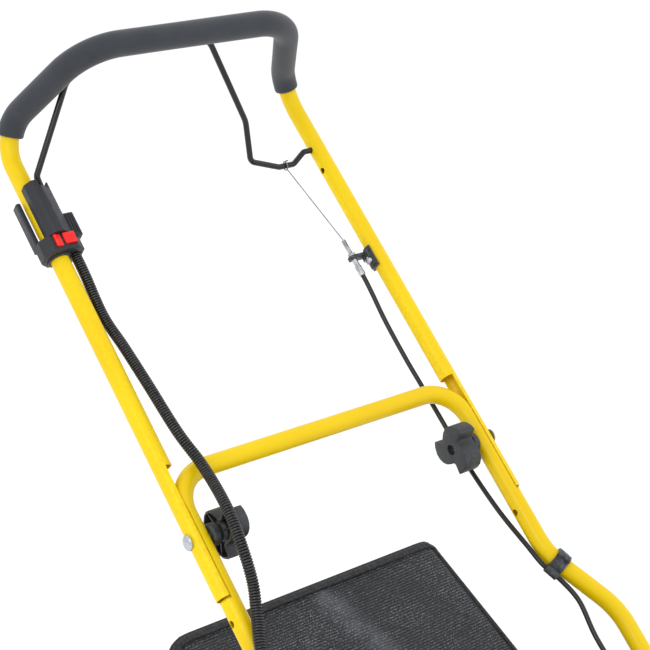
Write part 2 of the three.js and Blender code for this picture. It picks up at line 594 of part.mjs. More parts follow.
// A clip on the sloping run of a lower leg, with a second eye beside the tube for the line it holds.
function tubeClip({ x, z, turn }, eyeX, eyeY, eyeR) {
  const length = 17;
  const ring = new THREE.CylinderGeometry(TUBE_R + 4, TUBE_R + 4, length, 20);
  const eye = new THREE.CylinderGeometry(eyeR + 2.2, eyeR + 2.2, length, 14).translate(eyeX, 0, eyeY);
  const tube = new THREE.CylinderGeometry(TUBE_R + 1.2, TUBE_R + 1.2, length + 2, 20);
  const hole = new THREE.CylinderGeometry(eyeR + 0.8, eyeR + 0.8, length + 2, 14).translate(eyeX, 0, eyeY);
  const body = shell(cutBy(joined(ring, eye), tube, hole));
  return body.rotateX(Math.PI / 2).rotateY(turn).translate(x, 0, z);
}

function clipEye({ x, z, turn }, eyeX, eyeY, shift) {
  return vec(eyeX, -eyeY, shift).applyAxisAngle(vec(0, 1, 0), turn).add(vec(x, 0, z));
}

const CABLE_EYE = [-TUBE_R - CABLE_R - 2.8, 0, CABLE_R];
const CONDUIT_EYE = [0, -TUBE_R - CONDUIT_R - 2.9, CONDUIT_R];
const CONDUIT_END = vec(-100, ROTOR_Y + 103, MOTOR_Z - 14);

function cables() {
  put(handle, 'cable_clip', tubeClip(CABLE_CLIP, ...CABLE_EYE), BLACK_PLASTIC);
  put(handle, 'conduit_clip', tubeClip(CONDUIT_CLIP, ...CONDUIT_EYE), BLACK_PLASTIC);
  const cableEye = (shift) => clipEye(CABLE_CLIP, CABLE_EYE[0], CABLE_EYE[1], shift);
  const conduitEye = (shift) => clipEye(CONDUIT_CLIP, CONDUIT_EYE[0], CONDUIT_EYE[1], shift);

  const right = (x, y, z) => vec(UPPER_HALF_WIDTH + x, y, z);
  const left = (x, y, z) => vec(x - UPPER_HALF_WIDTH, y, z);
  const upperCable = along([
    vec(ADJUSTER_X, ADJUSTER_Y, ADJUSTER_TOP.z + ADJUSTER_LENGTH + GAP), vec(ADJUSTER_X, ADJUSTER_Y - 0.3, 300),
    right(-29.7, -11, 318), right(-29.5, -15, 352),
    right(-26, -21, 410), right(-22, -25, 447), right(-16.5, -31, 495), right(-15.5, -31, 560),
    right(-17, -20, 628), right(-18, -5, 680), cableEye(-14), cableEye(-GAP),
  ], 32);
  put(handle, 'cable_outer_upper', swept(upperCable, CABLE_R, 8), BLACK_PLASTIC);
  const lowerCable = along([
    toMachine(cableEye(GAP)), toMachine(cableEye(14)), toMachine(vec(205, 3, 762)), toMachine(vec(201, 2, 812)),
    vec(204, -690, 322), vec(213, -762, 300), vec(221, -812, 292), LOWER_CABLE_END,
  ], 18);
  put(machine, 'cable_outer_lower', swept(lowerCable, CABLE_R, 8), BLACK_PLASTIC);

  const upperConduit = along([
    left(CONDUIT_OUT.x, CONDUIT_OUT.y, CLAMP.z1 - 3.5), left(19.6, 2, 205), left(18.8, -1, 262), left(21.4, 5, 306.6),
    left(23.3, 12, 359), left(26.6, 19, 429), left(32.5, 23.5, 472), left(28, 38, 531), left(24, 37.6, 573),
    left(21.3, 27, 614), left(12, 21, 645), left(0, 20.6, 675), left(-8, 20.4, 706),
    conduitEye(-20), conduitEye(-GAP),
  ], 34);
  put(handle, 'conduit_upper', swept(upperConduit, CONDUIT_R, 8), BLACK_PLASTIC);
  const lowerConduit = along([
    toMachine(conduitEye(GAP)), toMachine(conduitEye(12)), toMachine(conduitEye(26)), vec(-246, -660, 362),
    vec(-214, -740, 325), vec(-160, -800, 315), vec(-115, -828, 318), CONDUIT_END,
  ], 20);
  put(machine, 'conduit_lower', swept(lowerConduit, CONDUIT_R, 8), BLACK_PLASTIC);
}

// ---- Housing ----
const ARM_X = PULLEY_INNER_X + PULLEY_WIDTH - 1;
const CLUTCH_WIRE_HOOK = vec(ARM_X + 1.5, ARM_HOOK.y + 3, ARM_HOOK.z + 9);
const CLUTCH_WIRE_RUN = CLUTCH_WIRE_HOOK.clone().sub(LOWER_CABLE_END).normalize();
const MOUTH_Y = -1165;              // front lip of the intake
const DECK_REAR_Y = -766;

function deckLine() {
  const path = new THREE.Path();
  path.moveTo(MOUTH_Y, 48);
  path.lineTo(MOUTH_Y + 12, 118);
  path.quadraticCurveTo(MOUTH_Y + 40, DECK_TOP - 30, ROTOR_Y - 60, DECK_TOP - 2);
  path.lineTo(ROTOR_Y + 40, DECK_TOP);
  path.lineTo(DECK_REAR_Y, DECK_TOP - 12);
  return path.getPoints(8).map(({ x, y }) => [x, y]).reverse();
}

function deck() {
  const shape = stripShape(deckLine(), PLATE);
  put(machine, 'deck', plateAcross(shape, GAP - DECK_HALF_WIDTH, DECK_HALF_WIDTH - GAP), YELLOW);
}

function chuteFloor() {
  const line = [];
  for (let i = 0; i <= 6; i += 1) {
    const angle = THREE.MathUtils.degToRad(-95 + i * 12);
    const reach = ROTOR_R + 8;
    line.push([ROTOR_Y + reach * Math.cos(angle), ROTOR_Z + reach * Math.sin(angle)]);
  }
  const floor = stripShape([...line, [DECK_REAR_Y, 106]], PLATE);
  put(machine, 'chute_floor', plateAcross(floor, GAP - DECK_HALF_WIDTH, DECK_HALF_WIDTH - GAP), BLACK_STEEL);
}

const BEARING_R = 17.5;
const FLAP_ROD = { y: DECK_REAR_Y + 8, z: DECK_TOP - 8 };
const FLAP_PIN_R = 3.5;
const PIN_END = DECK_HALF_WIDTH + PLATE + 2;

function sidePlate() {
  const outline = new THREE.Shape();
  outline.moveTo(MOUTH_Y - 4, 34);
  outline.lineTo(-1060, 24);
  outline.lineTo(-900, 24);
  outline.lineTo(-770, 60);
  outline.lineTo(DECK_REAR_Y + 4, 90);
  outline.lineTo(DECK_REAR_Y + 4, DECK_TOP - 26);
  outline.lineTo(FLAP_ROD.y + 9, DECK_TOP - 20);
  outline.lineTo(FLAP_ROD.y + 9, FLAP_ROD.z + 9);
  outline.lineTo(FLAP_ROD.y - 9, FLAP_ROD.z + 9);
  outline.lineTo(ROTOR_Y + 40, DECK_TOP + 5);
  outline.lineTo(ROTOR_Y - 60, DECK_TOP + 4);
  outline.quadraticCurveTo(MOUTH_Y + 34, DECK_TOP - 24, MOUTH_Y + 5, 118);
  for (const [y, z, radius] of [
    [ROTOR_Y, ROTOR_Z, BEARING_R + GAP],
    [REAR_WHEEL_Y, REAR_WHEEL_R, AXLE_R + GAP],
    [FRONT_WHEEL_Y, FRONT_WHEEL_R, AXLE_R + GAP],
    [FLAP_ROD.y, FLAP_ROD.z, FLAP_PIN_R + GAP],
  ]) {
    const sides = 16;
    const hole = circle(radius / Math.cos(Math.PI / sides), sides);
    outline.holes.push(new THREE.Path(hole.map((point) => point.add(new THREE.Vector2(y, z)))));
  }
  return plateAcross(outline, DECK_HALF_WIDTH, DECK_HALF_WIDTH + PLATE);
}

function frontSkirt() {
  const half = DECK_HALF_WIDTH - 8;
  const skirt = block(-half, half, MOUTH_Y - 8, MOUTH_Y - 4.5, 22, 66);
  const clamp = block(-half, half, MOUTH_Y - 4.8, MOUTH_Y - 1, 52, 66);
  put(machine, 'front_skirt', shell(joined(skirt, clamp)), RUBBER);
}

function idlerPost() {
  return turnedAlongX([
    [0, DECK_HALF_WIDTH + 1], [8, DECK_HALF_WIDTH + 1], [8, ARM_X - GAP], [4, ARM_X - GAP], [4, ARM_X + 5],
    [0, ARM_X + 5],
  ], ARM_PIVOT.y, ARM_PIVOT.z, 14);
}

function housing() {
  deck();
  chuteFloor();
  put(machine, 'side_plate_right', shell(joined(sidePlate(), idlerPost())), YELLOW);
  put(machine, 'side_plate_left', mirrored(sidePlate()), YELLOW);
  frontSkirt();
}

// ---- Rotor, bearings and belt drive ----
function paddleOutline() {
  const points = [];
  const paddles = 6;
  const hub = 26;
  const half = 2.5;
  for (let i = 0; i < paddles; i += 1) {
    const angle = (2 * Math.PI * i) / paddles;
    for (const [radial, sideways] of [[hub, -half], [ROTOR_R, -half], [ROTOR_R, half], [hub, half]]) {
      const point = new THREE.Vector2(radial, sideways).rotateAround(new THREE.Vector2(), angle);
      points.push(point);
    }
  }
  return points;
}

function rotor() {
  const half = DECK_HALF_WIDTH - 10;
  const outline = new THREE.Shape(paddleOutline());
  outline.holes.push(new THREE.Path(circle(SHAFT_R + GAP, 16)));
  const paddles = plateAcross(outline, -half, half).translate(0, ROTOR_Y, ROTOR_Z);
  const disc = () => [
    [SHAFT_R + GAP, 0], [ROTOR_R - 12, 0], [ROTOR_R - 12, 3], [SHAFT_R + GAP, 3], [SHAFT_R + GAP, 0],
  ];
  const discs = [-half, half - 3].map((x) => turnedAlongX(
    disc().map(([radius, at]) => [radius, at + x]), ROTOR_Y, ROTOR_Z, 18));
  put(machine, 'blower_rotor', shell(joined(paddles, ...discs)), GREY_PLASTIC);
  const shaftEnd = PULLEY_INNER_X + PULLEY_WIDTH + 3;
  put(machine, 'rotor_shaft', rodAlongX(SHAFT_R, -DECK_HALF_WIDTH - 14, shaftEnd, ROTOR_Y, ROTOR_Z), STEEL);
}

function bearing() {
  const from = DECK_HALF_WIDTH - 3;
  const to = DECK_HALF_WIDTH + 8;
  const flange = DECK_HALF_WIDTH + PLATE + GAP;
  return turnedAlongX([
    [SHAFT_R + GAP, from], [BEARING_R, from], [BEARING_R, flange], [24, flange], [24, flange + 3],
    [BEARING_R, to], [SHAFT_R + GAP, to], [SHAFT_R + GAP, from],
  ], ROTOR_Y, ROTOR_Z, 16);
}

function pulley(radius, bore, z) {
  const x0 = PULLEY_INNER_X;
  const x1 = x0 + PULLEY_WIDTH;
  return turnedAlongX([
    [bore, x0], [radius + 3, x0], [radius + 3, x0 + 2], [radius, x0 + 3], [radius, x1 - 3],
    [radius + 3, x1 - 2], [radius + 3, x1], [bore, x1], [bore, x0],
  ], ROTOR_Y, z, 20);
}

// Outline of the belt's loop at a given distance outside the two pulleys.
function beltLoop(offset) {
  const shape = new THREE.Path();
  shape.absarc(ROTOR_Y, MOTOR_Z, MOTOR_PULLEY_R + offset, BELT_TILT, Math.PI - BELT_TILT);
  shape.absarc(ROTOR_Y, ROTOR_Z, ROTOR_PULLEY_R + offset, Math.PI - BELT_TILT, 2 * Math.PI + BELT_TILT);
  return shape.getPoints(10).slice(0, -1);
}

function beltDrive() {
  put(machine, 'bearing_right', bearing(), STEEL);
  put(machine, 'bearing_left', mirrored(bearing()), STEEL);
  put(machine, 'rotor_pulley', pulley(ROTOR_PULLEY_R, SHAFT_R + GAP, ROTOR_Z), STEEL);
  const shaftEnd = PULLEY_INNER_X + PULLEY_WIDTH + 3;
  const shaft = rodAlongX(AXLE_R, MOTOR_HALF_LENGTH - SHAFT_DEPTH + GAP, shaftEnd, ROTOR_Y, MOTOR_Z);
  put(machine, 'motor_pulley', shell(joined(pulley(MOTOR_PULLEY_R, AXLE_R - 1, MOTOR_Z), shaft)), STEEL);
  const outline = new THREE.Shape(beltLoop(BELT_THICK));
  outline.holes.push(new THREE.Path(beltLoop(BELT_CLEAR)));
  const inset = 3.6;
  const belt = plateAcross(outline, PULLEY_INNER_X + inset, PULLEY_INNER_X + PULLEY_WIDTH - inset);
  put(machine, 'drive_belt', belt, RUBBER);
}

function idler() {
  const link = (from, to) => {
    const length = Math.hypot(to.y - from.y, to.z - from.z);
    const angle = Math.atan2(to.z - from.z, to.y - from.y);
    const shape = roundedRectangle(-6, length + 6, -6, 6, 5.9);
    const plate = plateAcross(shape, ARM_X, ARM_X + 3, 4);
    return plate.rotateX(angle).translate(0, from.y, from.z);
  };
  const holes = [rodAlongX(4 + GAP, ARM_X - 50, ARM_X + 50, ARM_PIVOT.y, ARM_PIVOT.z)];
  const post = rodAlongX(4, PULLEY_INNER_X + 1, ARM_X + 1, IDLER_Y, IDLER_Z);
  const arm = cutBy(joined(link(ARM_PIVOT, { y: IDLER_Y, z: IDLER_Z }), link(ARM_PIVOT, ARM_HOOK), post), ...holes);
  put(machine, 'idler_arm', shell(arm), STEEL);
  const from = PULLEY_INNER_X + 1;
  const to = ARM_X - 2;
  put(machine, 'idler_pulley', turnedAlongX([
    [4 + GAP, from], [IDLER_R, from], [IDLER_R, to], [4 + GAP, to], [4 + GAP, from],
  ], IDLER_Y, IDLER_Z, 18), BLACK_PLASTIC);
  const start = LOWER_CABLE_END.clone().addScaledVector(CLUTCH_WIRE_RUN, 2);
  put(machine, 'clutch_wire', swept([start, CLUTCH_WIRE_HOOK], WIRE_R, 8), STEEL);
}

function coverOutline(inset) {
  const front = ROTOR_Y - ROTOR_PULLEY_R - 10 + inset;
  const rear = ROTOR_Y + ROTOR_PULLEY_R + 10 - inset;
  const shape = new THREE.Shape();
  shape.absarc(ROTOR_Y, ROTOR_Z, ROTOR_PULLEY_R + 10 - inset, Math.PI, 2 * Math.PI);
  const armSide = ARM_HOOK.y + 12 - inset;
  shape.lineTo(rear, ARM_PIVOT.z - 20 + inset);
  shape.lineTo(armSide, ARM_PIVOT.z - 10 + inset);
  shape.lineTo(armSide, ARM_HOOK.z + 27 - inset / 2);
  shape.lineTo(ROTOR_Y + 60, MOTOR_Z - 2 - inset / 2);
  shape.absarc(ROTOR_Y, MOTOR_Z, ROTOR_PULLEY_R - 8 - inset, 0, Math.PI);
  shape.lineTo(front, ROTOR_Z + 60);
  return shape;
}

function beltCover() {
  const base = DECK_HALF_WIDTH + PLATE + GAP;
  const outer = solid(plateAcross(coverOutline(0), base, BELT_COVER_OUTER_X));
  const inner = plateAcross(coverOutline(2.5), base - 1, BELT_COVER_OUTER_X - 2.5);
  const hole = [-12, 30].map((reach) => LOWER_CABLE_END.clone().addScaledVector(CLUTCH_WIRE_RUN, reach));
  const cableHole = swept(hole, CABLE_R + 0.6, 10);
  put(machine, 'belt_cover', shell(cutBy(outer, inner, cableHole)), BLACK_PLASTIC);
}

// ---- Motor ----
function hoodOutline(inset) {
  const top = MOTOR_Z + MOTOR_R + 16 - inset;
  const shape = new THREE.Shape();
  shape.moveTo(ROTOR_Y - 90 + inset, DECK_TOP + 5.5 - (inset > 0 ? 2 : 0));
  shape.lineTo(ROTOR_Y + 95 - inset, DECK_TOP + 5.5 - (inset > 0 ? 2 : 0));
  shape.lineTo(ROTOR_Y + 90 - inset, top - 40);
  shape.quadraticCurveTo(ROTOR_Y + 86 - inset, top, ROTOR_Y + 40, top);
  shape.lineTo(ROTOR_Y - 30, top);
  shape.quadraticCurveTo(ROTOR_Y - 78 + inset, top, ROTOR_Y - 84 + inset, top - 46);
  return shape;
}

function motorHood() {
  const outer = solid(plateAcross(hoodOutline(0), -HOOD_HALF_WIDTH, HOOD_HALF_WIDTH));
  const inner = plateAcross(hoodOutline(HOOD_WALL), HOOD_WALL - HOOD_HALF_WIDTH, HOOD_HALF_WIDTH - HOOD_WALL);
  const slots = [];
  for (let i = 0; i < 7; i += 1) {
    const x = -90 + i * 30;
    slots.push(block(x - 9, x + 9, ROTOR_Y - 20, ROTOR_Y + 30, MOTOR_Z + MOTOR_R + 8, MOTOR_Z + MOTOR_R + 30));
  }
  const shaftHole = rodAlongX(AXLE_R + 3, HOOD_HALF_WIDTH - 20, HOOD_HALF_WIDTH + 20, ROTOR_Y, MOTOR_Z);
  const gland = new THREE.CylinderGeometry(CONDUIT_R + GAP, CONDUIT_R + GAP, 30, 14);
  gland.translate(CONDUIT_END.x, CONDUIT_END.y - 12, CONDUIT_END.z);
  const body = cutBy(outer, inner, ...slots, shaftHole, gland);
  put(machine, 'motor_hood', shell(body), BLACK_PLASTIC);
}

function motor() {
  const from = -MOTOR_HALF_LENGTH;
  const to = MOTOR_HALF_LENGTH;
  const can = turnedAlongX([
    [0, from], [MOTOR_R - 12, from], [MOTOR_R, from + 10], [MOTOR_R, to - 10], [MOTOR_R - 12, to],
    [AXLE_R + GAP, to], [AXLE_R + GAP, to - SHAFT_DEPTH], [0, to - SHAFT_DEPTH],
  ], ROTOR_Y, MOTOR_Z);
  const foot = block(-70, 70, ROTOR_Y - 45, ROTOR_Y + 45, DECK_TOP + 5, MOTOR_Z - 30);
  put(machine, 'motor', shell(joined(can, foot)), GREY_PLASTIC);
}

// ---- Wheels ----
const WHEEL_SIDES = 18;
const RIM_DEPTH = 34;               // how much of a wheel's radius is tyre and rim edge

// Both wheel pieces are turned by half a facet, so that a tyre stands on a flat at its full radius.
const WHEEL_PHASE = Math.PI / WHEEL_SIDES;

function tyre(radius) {
  const x0 = WHEEL_INNER_X;
  const x1 = x0 + WHEEL_WIDTH;
  const seat = radius - RIM_DEPTH / 2 + GAP;
  const tread = radius / Math.cos(WHEEL_PHASE);
  return turnedAlongX([
    [seat, x0], [tread - 6, x0], [tread, x0 + 7], [tread, x1 - 7], [tread - 6, x1], [seat, x1], [seat, x0],
  ], 0, 0, WHEEL_SIDES, WHEEL_PHASE);
}

function rim(radius) {
  const x0 = WHEEL_INNER_X;
  const x1 = x0 + WHEEL_WIDTH;
  const seat = radius - RIM_DEPTH / 2;
  const bore = AXLE_R + GAP;
  const middle = (x0 + x1) / 2;
  return turnedAlongX([
    [bore, x0], [18, x0], [18, middle - 3], [seat - 6, middle - 3], [seat - 6, x0 + 1], [seat, x0 + 1],
    [seat, x1 - 1], [seat - 6, x1 - 1], [seat - 6, middle + 3], [18, middle + 3], [18, x1], [bore, x1],
    [bore, x0],
  ], 0, 0, WHEEL_SIDES, WHEEL_PHASE);
}

function axle() {
  const end = WHEEL_INNER_X + WHEEL_WIDTH + GAP;
  const half = [[AXLE_R, end], [12, end], [10, end + 4], [0, end + 4.5]];
  const other = half.map(([radius, x]) => [radius, -x]).reverse();
  return turnedAlongX([...other, ...half], 0, 0, 14);
}

function wheels() {
  for (const [end, y, radius] of [['rear', REAR_WHEEL_Y, REAR_WHEEL_R], ['front', FRONT_WHEEL_Y, FRONT_WHEEL_R]]) {
    for (const [name, build, material] of [['tyre', tyre, RUBBER], ['rim', rim, BLACK_PLASTIC]]) {
      const right = build(radius);
      put(machine, `${end}_${name}_right`, right, material).position.set(0, y, radius);
      put(machine, `${end}_${name}_left`, mirrored(right), material).position.set(0, y, radius);
    }
    put(machine, `${end}_axle`, axle(), ZINC).position.set(0, y, radius);
  }
}

// ---- Handle brackets ----
const BRACKET_LOW = 2 * REAR_WHEEL_R + 36;

function handleBracket() {
  const foot = toMachine(vec(0, 0, FOOT_BOLT_AT));
  const inner = DECK_HALF_WIDTH + PLATE + GAP;
  const outer = FOOT_HALF_WIDTH - TUBE_R - GAP;
  const ear = block(outer - 4, outer, foot.y - 75, foot.y + 22, BRACKET_LOW, foot.z + 22);
  const shelf = block(inner, outer, foot.y - 75, foot.y - 38, BRACKET_LOW, BRACKET_LOW + 4);
  const wall = block(inner, inner + 4, foot.y - 75, foot.y - 38, BRACKET_LOW - 20, BRACKET_LOW + 4);
  const hole = rodAlongX(BOLT_HOLE_R, outer - 20, outer + 20, foot.y, foot.z);
  return shell(cutBy(joined(ear, shelf, wall), hole));
}

function footBolt() {
  const foot = toMachine(vec(0, 0, FOOT_BOLT_AT));
  const seat = FOOT_HALF_WIDTH + TUBE_R + GAP;
  const inner = FOOT_HALF_WIDTH - TUBE_R - 4 - 2 * GAP;
  return turnedAlongX([
    [0, inner - 8], [8, inner - 8], [8, inner - GAP], [BOLT_R, inner - GAP], [BOLT_R, seat],
    [9, seat], [8.4, seat + 1.8], [6, seat + 3.6], [0, seat + 4.6],
  ], foot.y, foot.z, 16);
}

function brackets() {
  put(machine, 'handle_bracket_right', handleBracket(), BLACK_STEEL);
  put(machine, 'handle_bracket_left', mirrored(handleBracket()), BLACK_STEEL);
  put(machine, 'foot_bolt_right', footBolt(), ZINC);
  put(machine, 'foot_bolt_left', mirrored(footBolt()), ZINC);
}

// ---- Discharge flap and bag ----
const BAG_SLOPE = Math.atan2(BAG_REAR_TOP - BAG_MOUTH_TOP, BAG_REAR_Y - BAG_MOUTH_Y);

function flap() {
  const half = DECK_HALF_WIDTH - 35;
  const barrel = rodAlongX(7, 15 - half, half - 15, 0, 0);
  const pins = rodAlongX(FLAP_PIN_R, -PIN_END, PIN_END, 0, 0);
  const leaf = block(-half, half, 3, 118, -1, 2.5);
  const lip = block(-half, half, 114, 118, -8, 2.5);
  const body = shell(joined(barrel, pins, leaf, lip));
  put(machine, 'discharge_flap', body.rotateX(BAG_SLOPE).translate(0, FLAP_ROD.y, FLAP_ROD.z), BLACK_PLASTIC);
}

function bagRing(t, inset) {
  const mix = THREE.MathUtils.lerp;
  const y = mix(BAG_MOUTH_Y, BAG_REAR_Y, t);
  const half = mix(BAG_MOUTH_HALF, BAG_REAR_HALF, t) - inset;
  const top = mix(BAG_MOUTH_TOP, BAG_REAR_TOP, t) - inset;
  const bottom = mix(BAG_MOUTH_BOTTOM, BAG_REAR_BOTTOM, t) - 22 * Math.sin(Math.PI * t) + inset;
  const radius = mix(18, 26, t) - inset * 0.6;
  const arcSteps = 3;
  const ring = [];
  for (const [x, z, turn] of [
    [half, bottom, -90], [half, top, 0], [-half, top, 90], [-half, bottom, 180],
  ]) {
    for (let i = 0; i <= arcSteps; i += 1) {
      const angle = THREE.MathUtils.degToRad(turn + (90 * i) / arcSteps);
      const centreX = x - Math.sign(x) * radius;
      const centreZ = z === top ? z - radius : z + radius;
      ring.push(vec(centreX + radius * Math.cos(angle), y, centreZ + radius * Math.sin(angle)));
    }
  }
  return ring.reverse();
}

function bag() {
  const rings = [0, 0.3, 0.6, 0.975, 1].map((t) => bagRing(t, t === 1 ? 8 : 0));
  const hollow = [-0.02, 0.3, 0.6, 0.96, 0.985].map((t) => bagRing(t, BAG_WALL + (t > 0.97 ? 8 : 0)));
  put(machine, 'bag_fabric', shell(solid(loft(rings)).subtract(solid(loft(hollow)))), FABRIC);
}

function bagFrame() {
  const y = BAG_MOUTH_Y - 6;
  const half = BAG_MOUTH_HALF - 8;
  const top = BAG_MOUTH_TOP - 4;
  const out = half + 16;
  const hook = [
    vec(out, FLAP_ROD.y - 8, FLAP_ROD.z - 1), vec(out, FLAP_ROD.y - 8, FLAP_ROD.z + 10),
    vec(out, y, FLAP_ROD.z + 10), vec(out, y, top), vec(half, y, top), vec(half, y, BAG_MOUTH_BOTTOM + 8),
  ];
  const corners = [...hook.map((point) => vec(-point.x, point.y, point.z)), ...hook.reverse()];
  put(machine, 'bag_frame', swept(bentStations(corners, [5, 5, 5, 6, 14, 14, 6, 5, 5, 5], 45), 3.2, 6), BLACK_STEEL);
}

function bagHandle() {
  const y = BAG_REAR_Y + 1;
  const corners = [vec(-60, y, 330), vec(-60, y + 26, 330), vec(60, y + 26, 330), vec(60, y, 330)];
  put(machine, 'bag_handle', swept(bentStations(corners, [10, 10], 25), 6, 8), BLACK_PLASTIC);
}

upperHandle();
gripFoam();
lowerHandle();
handleJoint();
bailLever();
controlWire();
cableBracket();
cableAdjuster();
switchHousing();
cables();
housing();
rotor();
beltDrive();
idler();
beltCover();
motorHood();
motor();
wheels();
brackets();
flap();
bag();
bagFrame();
bagHandle();

// The part stands with the middle of its footprint at the origin.
machine.updateMatrixWorld(true);
const extent = new THREE.Box3().setFromObject(machine, true);
const centre = extent.getCenter(new THREE.Vector3());
machine.position.set(-centre.x, -centre.y, -extent.min.z);

export default machine;
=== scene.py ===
# Walk-behind leaf blower: detailed pieces, materials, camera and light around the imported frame.
import math

import bmesh
import bpy
from mathutils import Matrix, Vector, noise


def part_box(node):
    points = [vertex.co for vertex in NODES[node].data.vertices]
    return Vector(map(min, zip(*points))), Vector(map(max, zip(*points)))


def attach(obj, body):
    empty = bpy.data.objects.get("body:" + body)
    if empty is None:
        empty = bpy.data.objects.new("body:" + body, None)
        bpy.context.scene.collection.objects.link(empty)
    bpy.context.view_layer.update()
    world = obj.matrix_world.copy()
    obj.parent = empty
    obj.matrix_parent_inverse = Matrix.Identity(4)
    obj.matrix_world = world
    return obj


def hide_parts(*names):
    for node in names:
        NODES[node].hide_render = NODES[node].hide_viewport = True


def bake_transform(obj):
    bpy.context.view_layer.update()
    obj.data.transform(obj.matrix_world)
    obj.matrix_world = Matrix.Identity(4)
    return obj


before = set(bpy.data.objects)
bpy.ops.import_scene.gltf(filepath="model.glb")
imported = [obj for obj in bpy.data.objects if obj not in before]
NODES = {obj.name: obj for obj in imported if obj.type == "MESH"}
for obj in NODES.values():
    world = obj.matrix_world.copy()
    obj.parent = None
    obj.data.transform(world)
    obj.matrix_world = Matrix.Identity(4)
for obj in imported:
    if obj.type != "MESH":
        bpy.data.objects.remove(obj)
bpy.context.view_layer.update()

# ---- Places: millimetres here, metres in every mesh ----
MM = 0.001
BEND_HEIGHT = 900.0
LEG_SLOPE = math.radians(40.6)
SIN, COS = math.sin(LEG_SLOPE), math.cos(LEG_SLOPE)
REAR_AXLE_Y, FRONT_AXLE_Y = -795.0, -1105.0
AXLE_LOW, AXLE_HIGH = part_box("rear_axle")
ROW_Y = (AXLE_LOW.y + AXLE_HIGH.y) / 2 / MM - REAR_AXLE_Y
X_AXIS = Vector((1, 0, 0))
Y_AXIS = Vector((0, 1, 0))
Z_AXIS = Vector((0, 0, 1))
N_AXIS = Vector((0, -SIN, COS))
S_AXIS = Vector((0, -COS, -SIN))


def leg(x, n, s):
    """A point of the handle: across, off the plane of the legs to the front, down the legs."""
    return Vector((x, ROW_Y, BEND_HEIGHT)) + N_AXIS * n + S_AXIS * s


def low(x, y, z):
    """A point of the housing, with y measured from the corner of the legs."""
    return Vector((x, y + ROW_Y, z))


# ---- Mesh building ----
SHARP = math.radians(38)


def smoothed(mesh, angle=SHARP):
    mesh.polygons.foreach_set("use_smooth", [True] * len(mesh.polygons))
    mesh.set_sharp_from_angle(angle=angle)


def build(name, parts, angle=SHARP):
    """One object from (points in mm, faces) parts."""
    points, faces = [], []
    for part_points, part_faces in parts:
        first = len(points)
        points.extend(p * MM for p in part_points)
        faces.extend([tuple(i + first for i in face) for face in part_faces])
    mesh = bpy.data.meshes.new(name)
    mesh.from_pydata(points, [], faces)
    bm = bmesh.new()
    bm.from_mesh(mesh)
    bmesh.ops.recalc_face_normals(bm, faces=bm.faces)
    bm.to_mesh(mesh)
    bm.free()
    smoothed(mesh, angle)
    obj = bpy.data.objects.new(name, mesh)
    bpy.context.scene.collection.objects.link(obj)
    return obj


def apply_modifiers(obj, angle=SHARP):
    graph = bpy.context.evaluated_depsgraph_get()
    made = bpy.data.meshes.new_from_object(obj.evaluated_get(graph))
    obj.modifiers.clear()
    obj.data = made
    smoothed(made, angle)
    return obj


def combine(obj, shapes, operation="DIFFERENCE"):
    """Cuts, joins or intersects obj with closed shapes: parts, or objects, which are used up."""
    tools = [shape if isinstance(shape, bpy.types.Object) else tool(shape) for shape in shapes]
    for cutter in tools:
        step = obj.modifiers.new("combine", "BOOLEAN")
        step.object = cutter
        step.operation = operation
        step.solver = "EXACT"
    apply_modifiers(obj)
    for cutter in tools:
        bpy.data.objects.remove(cutter)
    return obj


def bevelled(obj, width, segments=2, angle=28):
    step = obj.modifiers.new("bevel", "BEVEL")
    step.width = width * MM
    step.segments = segments
    step.limit_method = "ANGLE"
    step.angle_limit = math.radians(angle)
    return apply_modifiers(obj)


def corner_arc(before, corner, after, radius, step):
    into, out = (corner - before).normalized(), (after - corner).normalized()
    turn = into.angle(out)
    start = corner - into * radius * math.tan(turn / 2)
    inward = (out - into * out.dot(into)).normalized()
    count = max(2, math.ceil(math.degrees(turn) / step))
    angles = [turn * i / count for i in range(count + 1)]
    return [start + into * radius * math.sin(a) + inward * radius * (1 - math.cos(a)) for a in angles]


def bent(corners, radii, step=5):
    """Straight runs joined by arcs."""
    path = [corners[0]]
    for i, radius in enumerate(radii):
        path += corner_arc(corners[i], corners[i + 1], corners[i + 2], radius, step)
    return path + [corners[-1]]


def spline(points, spacing):
    """A smooth curve through the points, as evenly spaced stations."""
    ends = [points[0] * 2 - points[1], *points, points[-1] * 2 - points[-2]]
    fine = []
    for a, b, c, d in zip(ends, ends[1:], ends[2:], ends[3:]):
        t1 = (b - a).length ** 0.5
        t2 = t1 + (c - b).length ** 0.5
        t3 = t2 + (d - c).length ** 0.5
        for i in range(24):
            t = t1 + (t2 - t1) * i / 24
            a1 = a * ((t1 - t) / t1) + b * (t / t1)
            a2 = b * ((t2 - t) / (t2 - t1)) + c * ((t - t1) / (t2 - t1))
            a3 = c * ((t3 - t) / (t3 - t2)) + d * ((t - t2) / (t3 - t2))
            b1 = a1 * ((t2 - t) / t2) + a2 * (t / t2)
            b2 = a2 * ((t3 - t) / (t3 - t1)) + a3 * ((t - t1) / (t3 - t1))
            fine.append(b1 * ((t2 - t) / (t2 - t1)) + b2 * ((t - t1) / (t2 - t1)))
    return spaced(fine + [points[-1]], spacing)


def spaced(path, spacing):
    lengths = [0.0]
    for a, b in zip(path, path[1:]):
        lengths.append(lengths[-1] + (b - a).length)
    count = max(2, round(lengths[-1] / spacing))
    out, j = [], 0
    for i in range(count + 1):
        want = lengths[-1] * i / count
        while j < len(lengths) - 2 and lengths[j + 1] < want:
            j += 1
        span = lengths[j + 1] - lengths[j]
        out.append(path[j].lerp(path[j + 1], (want - lengths[j]) / span if span else 0))
    return out


